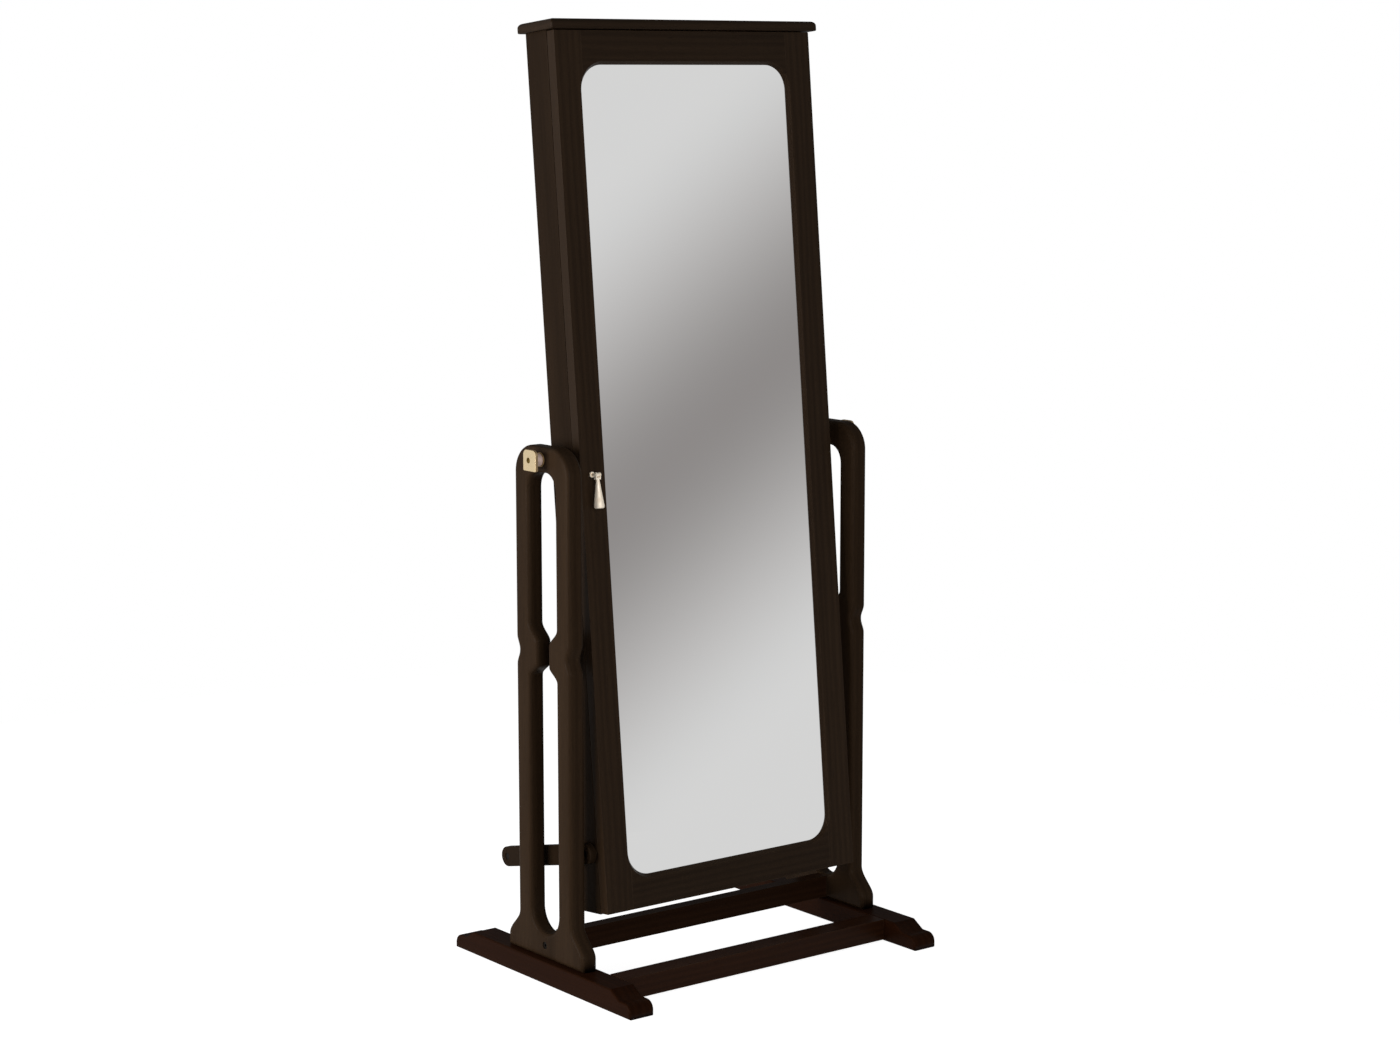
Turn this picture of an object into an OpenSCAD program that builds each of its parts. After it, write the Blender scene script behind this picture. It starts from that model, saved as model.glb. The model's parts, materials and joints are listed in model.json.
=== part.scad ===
// Cheval floor mirror: a shallow jewellery cabinet with a mirrored door, tilting between two
// arched uprights on long feet.
// Millimetres. X runs to the viewer's right, -Y is the front, Z is up. The origin is on the floor,
// midway between the feet.

/* [Stand] */
// Gap between the cabinet's side and each upright
side_gap = 20; // [20:1:60]
// Length of each foot, toe to heel
foot_len = 490; // [440:5:600]
// Width of each foot
foot_w = 47; // [37:1:60]
// Height of the feet's top above the floor
foot_h = 38; // [32:1:50]
// Length of the low toe at each end of a foot
toe_len = 30; // [20:1:45]
// Height of the low toe
toe_h = 24.5; // [14:0.5:26]
// How far the foot glides lift the feet off the floor
glide_gap = 1; // [0.6:0.1:3]

/* [Uprights] */
// Thickness of each upright
upright_t = 30; // [24:1:34]
// Width of an upright across both its legs
upright_w = 147.5; // [130:0.5:170]
// Width of one leg of an upright
leg_w = 37; // [31:1:44]
// Height of the arch's top above the floor
arch_top = 866; // [846:1:1000]
// Depth of the arch above its slot
crown_h = 41; // [38:1:50]
// How much wider an upright is at its base, on each side
flare = 30; // [16:1:40]
// Height over which the base flares out
flare_h = 46; // [36:1:60]
// Height of the waist's middle above the floor
waist_z = 534; // [420:2:620]
// Gap between the legs at the waist
waist_gap = 30; // [16:1:44]
// Depth of the notch outside each leg at the waist
notch = 7.5; // [4:0.5:12]
// Wall of the bush that lines each pivot bore
bush_wall = 1.2; // [0.8:0.1:2]

/* [Stretchers] */
// Depth of the front stretcher, front to back
front_str_d = 38; // [26:1:50]
// Distance of the front stretcher's middle ahead of the pivot
front_str_y = 149; // [124:1:176]
// Depth of the rear stretcher, front to back
rear_str_d = 22; // [18:1:30]
// Height of the rear stretcher
rear_str_h = 37; // [26:0.5:40]
// Gap between the feet's top and the rear stretcher
rear_str_gap = 3.5; // [1:0.5:12]

/* [Tilt locks] */
// Depth of the tilt axis below the top of the arch
pivot_drop = 20; // [16:0.5:26]
// Diameter of the pivot stud
stud_d = 8; // [6:1:10]
// Width of the brass knob, front to back
knob_w = 34; // [30:1:44]
// Height of the brass knob
knob_h = 33.5; // [30:0.5:44]
// Thickness of the knob's plate
knob_t = 5; // [4:0.5:8]
// Length of the neck that carries the plate
knob_neck = 14; // [9:1:18]
// Diameter of the socket in the knob's face
socket_d = 9; // [6:0.5:12]

/* [Cabinet] */
// Lean of the cabinet as it stands, in degrees back from upright
lean = 5.4; // [5:0.1:6]
// Width of the cabinet
cab_w = 511; // [400:1:640]
// Depth of the cabinet without its door
cab_d = 56.5; // [50:0.5:70]
// Height of the cabinet above the tilt axis, up to the cornice
cab_up = 664.5; // [620:0.5:720]
// Height of the cabinet below the tilt axis
cab_down = 729; // [690:1:738]
// Distance of the cabinet's front edge ahead of the tilt axis
cab_front = 16.1; // [14:0.1:18]
// Thickness of the side, top and bottom panels
panel_t = 12; // [10:0.5:16]
// Thickness of the back panel
back_t = 4; // [3:0.5:6]
// Thickness of the felt lining
felt_t = 1.5; // [1:0.1:2.5]

/* [Cornice] */
// Height of the cornice
cornice_h = 16; // [12:1:24]
// Overhang of the cornice at the sides and the front
cornice_over = 10.5; // [7:0.5:16]

/* [Door] */
// Thickness of the door's frame
door_t = 19; // [17:0.1:19.2]
// Width of the door's stiles
stile_w = 50.5; // [40:0.5:64]
// Height of the door's top rail
top_rail_h = 53; // [45:1:75]
// Height of the door's bottom rail
bottom_rail_h = 51.5; // [45:0.5:75]
// Radius of the mirror opening's corners
opening_r = 40; // [20:1:60]
// Thickness of the mirror glass
glass_t = 4; // [3:0.5:5]
// How far the glass lies behind the frame's face
glass_recess = 7; // [5:0.5:9]
// Width of the bevel around the opening
bevel = 5; // [2:0.5:8]
// Width of the rebate that holds the glass
rebate = 10; // [6:0.5:14]

/* [Pull] */
// Distance of the pull from the door's left edge
pull_in = 20.5; // [18:0.5:25]
// Height of the pull below the tilt axis
pull_down = 29; // [0:1:200]
// Length of the hanging drop below its pin
drop_len = 52.5; // [40:0.5:66]
// Diameter of the drop at its foot
drop_d = 16.5; // [14:0.5:22]
// Distance of the pull's pin ahead of the door
pull_reach = 15.5; // [15.5:0.5:24]

/* [Stay arm] */
// Height of the arm's screw below the tilt axis, along the cabinet
arm_down = 631; // [560:1:660]
// Distance between the arm's two screws
arm_len = 226; // [200:2:240]
// Height of the arm
arm_h = 33; // [28:1:38]
// Thickness of the arm
arm_t = 12; // [8:0.5:14]
// Drop of the arm towards the back, in degrees from level
arm_drop = 13; // [8:1:18]

/* [Interior] */
// Depth of the upper shelf below the top panel
upper_shelf_drop = 155; // [120:1:200]
// Height of the middle shelf above the tilt axis
middle_shelf_up = 87.5; // [80:0.5:200]
// Height of the lower shelf above the bottom panel
lower_shelf_up = 240; // [180:5:280]
// Thickness of the shelves
shelf_t = 8; // [6:0.5:12]
// Height of the little fence along each shelf
fence_h = 22; // [14:1:32]
// Diameter of a ring roll
roll_d = 18; // [14:1:22]
// Number of ring rolls
rolls = 5; // [3:1:6]
// Number of necklace hooks
hooks = 10; // [6:1:14]
// Number of earring bars
bars = 5; // [2:1:6]

/* [Hidden] */
$fn = 48;
e = 0.02;                    // overlap that keeps a cut clean
gap = 0.3;                   // clearance between parts that move past each other
seam = 1.5;                  // gap between the closed door and the cabinet
run = 0.05;                  // radial clearance of a pin or stud in its bore
slip = 0.1;                  // radial clearance of a bolt in its hole

cab_half = cab_w/2;
up_in = cab_half + side_gap;           // inner face of the uprights
up_out = up_in + upright_t;
foot_x = up_in + 17.7;
foot_in = foot_x - foot_w/2;
pivot_z = arch_top - pivot_drop;
leg_half = upright_w/2;
slot_half = leg_half - leg_w;
arch_r = 0.61*leg_half;                // radius of the arch's corners
slot_r = 0.76*slot_half;               // radius of the slot's upper corners
slot_top = arch_top - crown_h;
base_half = leg_half + flare;
shoulder_z = foot_h + 20;              // top of the base's straight edge
flare_top = shoulder_z + flare_h;
notch_h = 47;                          // height of the notch outside the waist
waist_h = 35;                          // height of the waist's straight throat
waist_over = 29;                       // height over which the legs lean in above the throat
waist_under = 23;                      // and below it
rear_str_z = foot_h + rear_str_gap + rear_str_h/2;
slot_low = rear_str_z + rear_str_h/2;  // lowest point of the slot
slot_low_z = slot_low + slot_half;     // centre of the slot's round bottom
bush_r = stud_d/2 + bush_wall;
washer_r = 11.5;
washer_t = 1.5;

cab_back = cab_d - cab_front;
inner_half = cab_half - panel_t;
back_y = cab_back - 2;                 // rear face of the back panel
inner_back = back_y - back_t;          // front face of the back panel
felt_y = inner_back - felt_t;
inner_top = cab_up - panel_t;
inner_low = panel_t - cab_down;
nut_r = stud_d/2 + 2.5;
spacer_r = 13;

door_back = cab_front + seam;          // distances ahead of the tilt axis
door_front = door_back + door_t;
door_top = cab_up - 1.5;
door_low = 2 - cab_down;
open_half = cab_half - stile_w;
open_top = door_top - top_rail_h;
open_low = door_low + bottom_rail_h;
glass_y = door_front - glass_recess;
board_y = glass_y - glass_t;           // front face of the backing board
board_t = 3;
bead_y = board_y - board_t;
rebate_half = open_half + rebate;

hinge_x = cab_half - 0.5;
hinge_y = cab_front + seam/2;          // distance ahead of the tilt axis
hinge_len = 50;
knuckle_r = 2.6;
pin_r = 1.2;
leaf_t = 1.5;
leaf_w = 9.5;
hinge_zs = [door_low + 110, (door_low + door_top)/2, door_top - 110];

pull_x = -(cab_half - pull_in);
pull_z = -pull_down;
eye_r = 3.3;
eye_half = 2.4;
pull_pin_r = 1.2;
cheek_t = 1.8;
post_r = 2.2;
pull_screw_r = 1.5;

arm_x = -(cab_half + 3.5);             // inner face of the arm
arm_y = 4;                             // the arm's screw ahead of the tilt axis
arm_screw_r = 3;
arm_head_r = 5.5;

shelf_d = felt_y + cab_front - 6;      // depth of the shelves
shelf_zs = [inner_top - upper_shelf_drop, middle_shelf_up, inner_low + lower_shelf_up];
fence_t = 3;
hook_z = shelf_zs[0] - 34;
bar_z0 = shelf_zs[2] + 60;
bar_step = 56;
rod_z = shelf_zs[2] - 40;
hook_inset = 42;                       // from the side panels to the end hooks
bracket_inset = 30;                    // from the side panels to the bars' brackets
catch_h = 40;
catch_t = 10;
catch_z = nut_r + 19 + catch_h/2;      // clear above the pivot nut

wood = [0.16, 0.10, 0.07];
wood_dark = [0.11, 0.07, 0.05];
brass = [0.85, 0.72, 0.45];
steel = [0.62, 0.62, 0.63];
felt = [0.20, 0.05, 0.07];

// ---- helpers ----

// A run of points along an arc about [cy, cz]
function arc(cy, cz, r, from, to, n = 12) =
    [for (i = [0 : n]) let (a = from + (to - from)*i/n) [cy + r*cos(a), cz + r*sin(a)]];
// A smooth step from 0 to 1
function ease(t) = (1 - cos(180*t))/2;
// The same outline on the other side, in reverse order
function mirrored(pts) = [for (i = [len(pts) - 1 : -1 : 0]) [-pts[i][0], pts[i][1]]];

// Extrudes a [y, z] outline along X, from x0 over a length
module slab(x0, length) {
    translate([x0, 0, 0]) rotate([90, 0, 90]) linear_extrude(length) children();
}
// A cylinder along X
module rod_x(x0, x1, r) {
    translate([min(x0, x1), 0, 0]) rotate([0, 90, 0]) cylinder(h = abs(x1 - x0), r = r);
}
// A cylinder along Y, between distances y0 and y1 behind the origin
module rod_y(y0, y1, r) {
    translate([0, min(y0, y1), 0]) rotate([-90, 0, 0]) cylinder(h = abs(y1 - y0), r = r);
}
// A box given by its two corners
module box(a, b) {
    translate(a) cube(b - a);
}
// Places something modelled about the tilt axis, at the cabinet's lean
module leaning() {
    translate([0, 0, pivot_z]) rotate([-lean, 0, 0]) children();
}
// Places something on the tilt axis, level
module at_pivot() {
    translate([0, 0, pivot_z]) children();
}
// Places something on the left (side = -1) or right (side = 1), mirrored
module on_side(side) {
    if (side < 0) mirror([1, 0, 0]) children();
    else children();
}

// ---- stand ----

foot_half = foot_len/2;
toe_r = 0.6*toe_h;
ramp_run = 1.63;                       // length of the ramp behind the toe, for its height
foot_end = concat(
    [[foot_half, glide_gap]],
    arc(foot_half - toe_r, toe_h - toe_r, toe_r, 0, 90, 8),
    [[foot_half - toe_len, toe_h], [foot_half - toe_len - ramp_run*(foot_h - toe_h), foot_h]]);

screw_ys = [-60, 60];
glide_ys = [25 - foot_half, 0, foot_half - 25];
dowel_ys = [-9, 9];
screw_r = 2.5;

// Holes in a foot for its screws, in the foot's own frame
module foot_holes() {
    for (y = screw_ys) translate([up_out - upright_t/2, y, 0]) {
        translate([0, 0, -e]) cylinder(h = foot_h + 2*e, r = screw_r + slip);
        translate([0, 0, -e]) cylinder(h = 8, r = 5.2);
    }
    for (y = glide_ys)
        translate([foot_x, y, -e]) cylinder(h = 4 + 2*e, r = 9 + slip);
    for (dy = dowel_ys) translate([foot_in - e, dy - front_str_y, foot_h/2 + 1])
        rod_x(0, 15.2, 4 + slip);
}

module foot() {
    difference() {
        slab(foot_in, foot_w) polygon(concat(foot_end, mirrored(foot_end)));
        foot_holes();
    }
}

leg_outline = concat(
    [[base_half, foot_h]],
    [for (i = [0 : 12]) let (t = i/12)
        [base_half - flare*ease(t), shoulder_z + flare_h*t]],
    [for (i = [0 : 12]) let (t = i/12)
        [leg_half - notch*(1 - cos(360*t))/2, waist_z + notch_h*(t - 0.5)]],
    arc(leg_half - arch_r, arch_top - arch_r, arch_r, 0, 90, 20));

slot_outline = concat(
    arc(0, slot_low_z, slot_half, -90, 0, 16),
    [for (i = [0 : 10]) let (t = i/10)
        [slot_half - (slot_half - waist_gap/2)*ease(t),
         waist_z - waist_h/2 - waist_under*(1 - t)]],
    [for (i = [0 : 10]) let (t = i/10)
        [waist_gap/2 + (slot_half - waist_gap/2)*ease(t), waist_z + waist_h/2 + waist_over*t]],
    arc(slot_half - slot_r, slot_top - slot_r, slot_r, 0, 90, 14));

module upright() {
    difference() {
        slab(up_in, upright_t) difference() {
            polygon(concat(leg_outline, mirrored(leg_outline)));
            polygon(concat(slot_outline, mirrored(slot_outline)));
        }
        at_pivot() rod_x(up_in - e, up_out + e, bush_r + slip);
        translate([0, 0, rear_str_z]) {
            rod_x(up_in - e, up_out + e, 3.2 + slip);
            rod_x(up_out - 6, up_out + e, 6.2);
        }
        for (y = screw_ys) translate([up_out - upright_t/2, y, foot_h - e])
            cylinder(h = 30, r = screw_r + slip);
    }
}

module left_foot() { color(wood) on_side(-1) foot(); }
module right_foot() { color(wood) foot(); }
module left_upright() { color(wood) on_side(-1) upright(); }
module right_upright() { color(wood) upright(); }

module front_stretcher() {
    color(wood) difference() {
        box([-foot_in, -front_str_y - front_str_d/2, 3],
            [foot_in, -front_str_y + front_str_d/2, foot_h]);
        for (side = [-1, 1], dy = dowel_ys)
            translate([side*(foot_in - 15.2), dy - front_str_y, foot_h/2 + 1])
                rod_x(0, side*(15.2 + e), 4 + slip);
    }
}

module rear_stretcher() {
    color(wood_dark) difference() {
        box([-up_in, -rear_str_d/2, rear_str_z - rear_str_h/2],
            [up_in, rear_str_d/2, rear_str_z + rear_str_h/2]);
        for (side = [-1, 1]) {
            translate([side*(up_in - 45), 0, rear_str_z]) rod_x(0, side*(45 + e), 3.2 + slip);
            translate([side*(up_in - 35), 0, rear_str_z])
                rod_y(-rear_str_d/2 + 3, rear_str_d/2 + e, 5 + slip);
        }
    }
}

module stretcher_bolts() {
    color(steel) for (side = [-1, 1]) on_side(side) translate([0, 0, rear_str_z]) difference() {
        union() {
            rod_x(up_in - 44, up_out - 6, 3.2);
            rod_x(up_out - 6, up_out - 1.5, 6);
        }
        translate([up_out - 4.5, 0, 0]) rotate([0, 90, 0]) cylinder(h = 4, r = 2.6, $fn = 6);
    }
}

module barrel_nuts() {
    color(steel) for (side = [-1, 1]) translate([side*(up_in - 35), 0, rear_str_z]) difference() {
        rod_y(-rear_str_d/2 + 3.2, rear_str_d/2 - 1, 5);
        rod_x(-6, 6, 3.2 + slip);
    }
}

module foot_screws() {
    color(steel) for (side = [-1, 1], y = screw_ys) on_side(side)
        translate([up_out - upright_t/2, y, 0]) {
            translate([0, 0, 8 - e]) cylinder(h = foot_h + 20, r = screw_r);
            translate([0, 0, 5]) cylinder(h = 3 - e, r = 5);
        }
}

module stretcher_dowels() {
    color([0.72, 0.60, 0.42]) for (side = [-1, 1], dy = dowel_ys)
        translate([side*(foot_in - 15), dy - front_str_y, foot_h/2 + 1]) rod_x(0, side*30, 4);
}

module foot_glides() {
    color([0.08, 0.08, 0.08]) for (side = [-1, 1], y = glide_ys)
        translate([side*foot_x, y, 0]) cylinder(h = 4, r = 9);
}

module pivot_bush() {
    color(steel) at_pivot() difference() {
        rod_x(up_in, up_out, bush_r);
        rod_x(up_in - e, up_out + e, stud_d/2 + run);
    }
}
module left_pivot_bush() { on_side(-1) pivot_bush(); }
module right_pivot_bush() { pivot_bush(); }

module knob_washer() {
    color(brass) at_pivot() difference() {
        rod_x(up_out, up_out + washer_t, washer_r);
        rod_x(up_out - e, up_out + washer_t + e, stud_d/2 + run);
    }
}
module left_knob_washer() { on_side(-1) knob_washer(); }
module right_knob_washer() { knob_washer(); }

// ---- tilt locks ----

knob_in = up_out + washer_t + gap;     // inner face of the knob's neck
neck_r = 10;
knob_face = knob_in + knob_neck + knob_t;
socket_y = 3;                          // the socket lies this far behind the axis
socket_t = knob_t - 1.5;               // and is this deep
corner_rs = [[1, 8.5], [-1, 2]];         // the plate's upper and lower corner radii

module knob() {
    color(brass) at_pivot() difference() {
        union() {
            rod_x(knob_in, knob_in + knob_neck + e, neck_r);
            slab(knob_in + knob_neck, knob_t)
                hull() for (sy = [-1, 1], c = corner_rs)
                    translate([sy*(knob_w/2 - c[1]), c[0]*(knob_h/2 - c[1])]) circle(c[1], $fn = 32);
        }
        translate([0, socket_y, 0]) rod_x(knob_face - socket_t, knob_face + e, socket_d/2);
        rod_x(knob_in - e, knob_face - 8, stud_d/2 + run);
    }
}
module left_knob() { on_side(-1) knob(); }
module right_knob() { knob(); }

stud_in = inner_half - 6;              // inner end of the stud

module pivot_stud() {
    color(steel) at_pivot() rod_x(stud_in, knob_face - 8.2, stud_d/2);
}
module left_pivot_stud() { on_side(-1) pivot_stud(); }
module right_pivot_stud() { pivot_stud(); }

// ---- cabinet ----

module side_panel() {
    leaning() difference() {
        box([inner_half, -cab_front, -cab_down], [cab_half, cab_back, cab_up]);
        rod_x(inner_half - e, cab_half + e, nut_r + slip);
    }
}

module left_side() {
    color(wood) difference() {
        on_side(-1) side_panel();
        leaning() translate([0, -arm_y, -arm_down]) rod_x(-cab_half - e, -cab_half + 10, 2.4 + slip);
    }
}

module right_side() {
    color(wood) difference() {
        side_panel();
        leaning() for (z = hinge_zs) translate([0, 0, z]) {
            box([cab_half - leaf_w, -cab_front - e, -hinge_len/2 - gap],
                [cab_half + e, leaf_t - cab_front, hinge_len/2 + gap]);
            translate([hinge_x, -hinge_y, -hinge_len/2 - 3])
                cylinder(h = hinge_len + 6, r = knuckle_r + gap);
        }
    }
}

module top_panel() {
    color(wood_dark) leaning()
        box([-inner_half, -cab_front, inner_top], [inner_half, inner_back, cab_up]);
}
module bottom_panel() {
    color(wood_dark) leaning()
        box([-inner_half, -cab_front, -cab_down], [inner_half, inner_back, inner_low]);
}
module back_panel() {
    color(wood_dark) leaning()
        box([-inner_half, inner_back, -cab_down], [inner_half, back_y, cab_up]);
}

// One layer of the cornice, whose overhang grows from over0 to over1
module cornice_layer(over0, over1, z0, z1) {
    hull() for (layer = [[over0, z0], [over1, z1 - e]])
        box([-cab_half - layer[0], -door_front - layer[0], layer[1]],
            [cab_half + layer[0], cab_back + layer[0]*0.8, layer[1] + e]);
}

module cornice() {
    o = cornice_over;
    h = cornice_h;
    color(wood) leaning() translate([0, 0, cab_up]) {
        cornice_layer(o - 1.5, o, 0, 1.5);
        cornice_layer(o, o, 1.5, h - 6);
        cornice_layer(o, o - 1.5, h - 6, h - 2.5);
        cornice_layer(o - 1.5, o - 5, h - 2.5, h);
    }
}

module pivot_nut() {
    color(steel) leaning() difference() {
        union() {
            rod_x(inner_half, cab_half, nut_r);
            rod_x(inner_half - 2, inner_half, nut_r + 5);
        }
        rod_x(inner_half - 2 - e, cab_half + e, stud_d/2 + run);
    }
}
module left_pivot_nut() { on_side(-1) pivot_nut(); }
module right_pivot_nut() { pivot_nut(); }

module spacer() {
    color([0.1, 0.1, 0.1]) leaning() difference() {
        rod_x(cab_half, up_in - gap, spacer_r);
        rod_x(cab_half - e, up_in, stud_d/2 + run);
    }
}
module left_spacer() { on_side(-1) spacer(); }
module right_spacer() { spacer(); }

module back_lining() {
    color(felt) leaning()
        box([-inner_half, felt_y, inner_low], [inner_half, inner_back, inner_top]);
}

module side_linings() {
    color(felt) leaning() for (side = [-1, 1]) on_side(side)
        for (z = [[inner_low, shelf_zs[2]], [shelf_zs[2] + shelf_t, shelf_zs[1]],
                  [shelf_zs[1] + shelf_t, shelf_zs[0]], [shelf_zs[0] + shelf_t, inner_top]])
            difference() {
                box([inner_half - felt_t, -cab_front + 15, z[0]], [inner_half, felt_y, z[1]]);
                rod_x(inner_half - 5, inner_half + 1, nut_r + 5 + gap);
            }
}

module shelf(z) {
    color(wood) leaning()
        box([-inner_half, felt_y - shelf_d, z], [inner_half, felt_y, z + shelf_t]);
}
module upper_shelf() { shelf(shelf_zs[0]); }
module middle_shelf() { shelf(shelf_zs[1]); }
module lower_shelf() { shelf(shelf_zs[2]); }

module shelf_fences() {
    color(wood_dark) leaning() for (z = shelf_zs)
        box([-inner_half + felt_t, felt_y - shelf_d, z + shelf_t],
            [inner_half - felt_t, felt_y - shelf_d + fence_t, z + shelf_t + fence_h]);
}

module ring_rolls() {
    step = roll_d + 3;
    color(felt) leaning() for (i = [0 : rolls - 1])
        translate([0, felt_y - roll_d/2 - gap, inner_top - 16 - roll_d/2 - i*step])
            rod_x(-inner_half + felt_t, inner_half - felt_t, roll_d/2);
}

module hook_rail() {
    color(wood) leaning()
        box([-inner_half + 20, felt_y - 8, hook_z - 11], [inner_half - 20, felt_y, hook_z + 11]);
}

module hook() {
    rod_y(0, -16, 1.6);
    translate([0, -16, 0]) {
        sphere(1.6, $fn = 16);
        cylinder(h = 9, r = 1.6, $fn = 24);
        translate([0, 0, 9]) sphere(2.8, $fn = 24);
    }
    rod_y(0, -1.5, 4);
}

module necklace_hooks() {
    pitch = 2*(inner_half - hook_inset)/(hooks - 1);
    color(brass) leaning() for (i = [0 : hooks - 1])
        translate([-inner_half + hook_inset + i*pitch, felt_y - 8, hook_z]) hook();
}

module earring_bars() {
    slots = floor((inner_half - 40)/20);
    color(wood) leaning() for (i = [0 : bars - 1]) translate([0, felt_y - 14, bar_z0 + i*bar_step])
        difference() {
            union() {
                box([-inner_half + felt_t, 0, 0], [inner_half - felt_t, 6, 16]);
                for (side = [-1, 1])
                    translate([side*(inner_half - bracket_inset), 0, 0]) box([-5, 6, 3], [5, 14, 13]);
            }
            for (x = [-slots : slots]) translate([20*x, -e, 12]) box([-1, 0, 0], [1, 6 + 2*e, 5]);
        }
}

module bracelet_rod() {
    color(wood) leaning() translate([0, felt_y - 22, rod_z])
        rod_x(-inner_half + felt_t, inner_half - felt_t, 6);
}

module magnet_catch() {
    color([0.9, 0.9, 0.88]) leaning()
        box([-inner_half, -door_back + leaf_t + gap, catch_z - catch_h/2],
            [-inner_half + catch_t, -2.5, catch_z + catch_h/2]);
}

// The heights of a hinge's knuckles, from its middle: the case leaf's have own = true
function knuckles(own) = [for (i = [0 : 4]) if ((i % 2 == 0) == own) (i - 2)*hinge_len/5];

module leaf(own, y0, y1) {
    for (z = hinge_zs) translate([0, 0, z]) difference() {
        union() {
            difference() {
                box([cab_half - leaf_w, min(y0, y1), -hinge_len/2],
                    [hinge_x, max(y0, y1), hinge_len/2]);
                for (k = knuckles(!own))
                    translate([hinge_x, -hinge_y, k - hinge_len/10 - gap/2])
                        cylinder(h = hinge_len/5 + gap, r = knuckle_r + gap);
            }
            for (k = knuckles(own))
                translate([hinge_x, -hinge_y, k - hinge_len/10 + gap/2])
                    cylinder(h = hinge_len/5 - gap, r = knuckle_r);
        }
        translate([hinge_x, -hinge_y, -hinge_len/2 - 1]) cylinder(h = hinge_len + 2, r = pin_r + run);
    }
}

module hinge_case_leaves() {
    color(brass) leaning() leaf(true, -cab_front, leaf_t - cab_front);
}
module hinge_door_leaves() {
    color(brass) leaning() leaf(false, -door_back, -door_back - leaf_t);
}

module hinge_pins() {
    color(brass) leaning() for (z = hinge_zs)
        translate([hinge_x, -hinge_y, z - hinge_len/2 - 1.5]) {
            cylinder(h = hinge_len + 3, r = pin_r);
            cylinder(h = 1.5 - e, r = knuckle_r);
            translate([0, 0, hinge_len + 1.5 + e]) cylinder(h = 1.5, r = knuckle_r);
        }
}

// ---- door ----

// What the mirror's opening removes from the door's frame, with the bevel around it
module opening_cut() {
    w = open_half - opening_r;
    z0 = open_low + opening_r;
    z1 = open_top - opening_r;
    deep = glass_recess + 1;
    for (x = [-w, w], z = [z0, z1]) translate([x, 1 - glass_y, z]) rotate([90, 0, 0]) {
        cylinder(h = deep + 1, r = opening_r, $fn = 96);
        translate([0, 0, 1]) cylinder(h = glass_recess + 1, r1 = opening_r,
            r2 = opening_r + bevel*(glass_recess + 1)/glass_recess, $fn = 96);
    }
    box([-open_half, -door_front - 1, z0], [open_half, 1 - glass_y, z1]);
    box([-w, -door_front - 1, open_low], [w, 1 - glass_y, open_top]);
    for (side = [-1, 1]) on_side(side) translate([open_half, -door_front, z0])
        linear_extrude(z1 - z0)
            polygon([[-1, -1], [bevel*(1 + 1/glass_recess), -1], [0, glass_recess], [-1, glass_recess]]);
    for (end = [[open_top, 1], [open_low, -1]]) translate([-w, -door_front, end[0]])
        scale([1, 1, end[1]]) rotate([90, 0, 90]) linear_extrude(2*w)
            polygon([[-1, -1], [-1, bevel*(1 + 1/glass_recess)], [glass_recess, 0], [glass_recess, -1]]);
}

module left_stile() {
    color(wood) leaning() difference() {
        stile();
        translate([pull_x, 0, pull_z]) {
            rod_y(-door_front - e, -door_back + e, pull_screw_r + slip);
            rod_y(-door_back - 4, -door_back + e, 4.2);
        }
    }
}

module right_stile() {
    color(wood) leaning() difference() {
        mirror([1, 0, 0]) stile();
        for (z = hinge_zs) translate([0, 0, z]) {
            box([cab_half - leaf_w, -door_back - leaf_t, -hinge_len/2 - gap],
                [cab_half + e, -door_back + e, hinge_len/2 + gap]);
            translate([hinge_x, -hinge_y, -hinge_len/2 - 3])
                cylinder(h = hinge_len + 6, r = knuckle_r + gap);
        }
    }
}

// The left stile, rebated behind for the glass
module stile() {
    difference() {
        box([-cab_half, -door_front, door_low], [-open_half, -door_back, door_top]);
        box([-rebate_half, -glass_y, open_low - rebate], [-open_half + e, -door_back + e,
            open_top + rebate]);
        opening_cut();
    }
}

// A rail between the stiles, from its edge towards the mirror to its outer edge, with the
// fillets of the opening's two corners
module rail(edge, outer) {
    inward = edge > outer ? 1 : -1;
    difference() {
        union() {
            box([-open_half, -door_front, min(edge, outer)], [open_half, -door_back, max(edge, outer)]);
            for (side = [-1, 1]) on_side(side)
                box([open_half - opening_r, -door_front, min(edge, edge + inward*opening_r)],
                    [open_half, -glass_y, max(edge, edge + inward*opening_r)]);
        }
        box([-open_half - e, -glass_y, min(edge + inward*e, edge - inward*rebate)],
            [open_half + e, -door_back + e, max(edge + inward*e, edge - inward*rebate)]);
        opening_cut();
    }
}

module top_rail() {
    color(wood) leaning() rail(open_top, door_top);
}
module bottom_rail() {
    color(wood) leaning() rail(open_low, door_low);
}

module mirror_glass() {
    color([0.78, 0.77, 0.76]) leaning()
        box([-rebate_half + gap, -glass_y, open_low - rebate + gap],
            [rebate_half - gap, -board_y, open_top + rebate - gap]);
}

module backing_board() {
    color([0.45, 0.36, 0.26]) leaning()
        box([-rebate_half + gap, -board_y, open_low - rebate + gap],
            [rebate_half - gap, -bead_y, open_top + rebate - gap]);
}

bead_w = 8;

module glazing_beads() {
    color(wood_dark) leaning() {
        for (side = [-1, 1]) on_side(side)
            box([rebate_half - bead_w, -bead_y, open_low - rebate],
                [rebate_half, -door_back, open_top + rebate]);
        for (z = [open_low - rebate, open_top + rebate - bead_w])
            box([-rebate_half + bead_w, -bead_y, z], [rebate_half - bead_w, -door_back, z + bead_w]);
    }
}

module door_lining() {
    color(felt) leaning()
        box([-rebate_half + bead_w + 1, -bead_y, open_low - rebate + bead_w + 1],
            [rebate_half - bead_w - 1, -bead_y + felt_t, open_top + rebate - bead_w - 1]);
}

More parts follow.
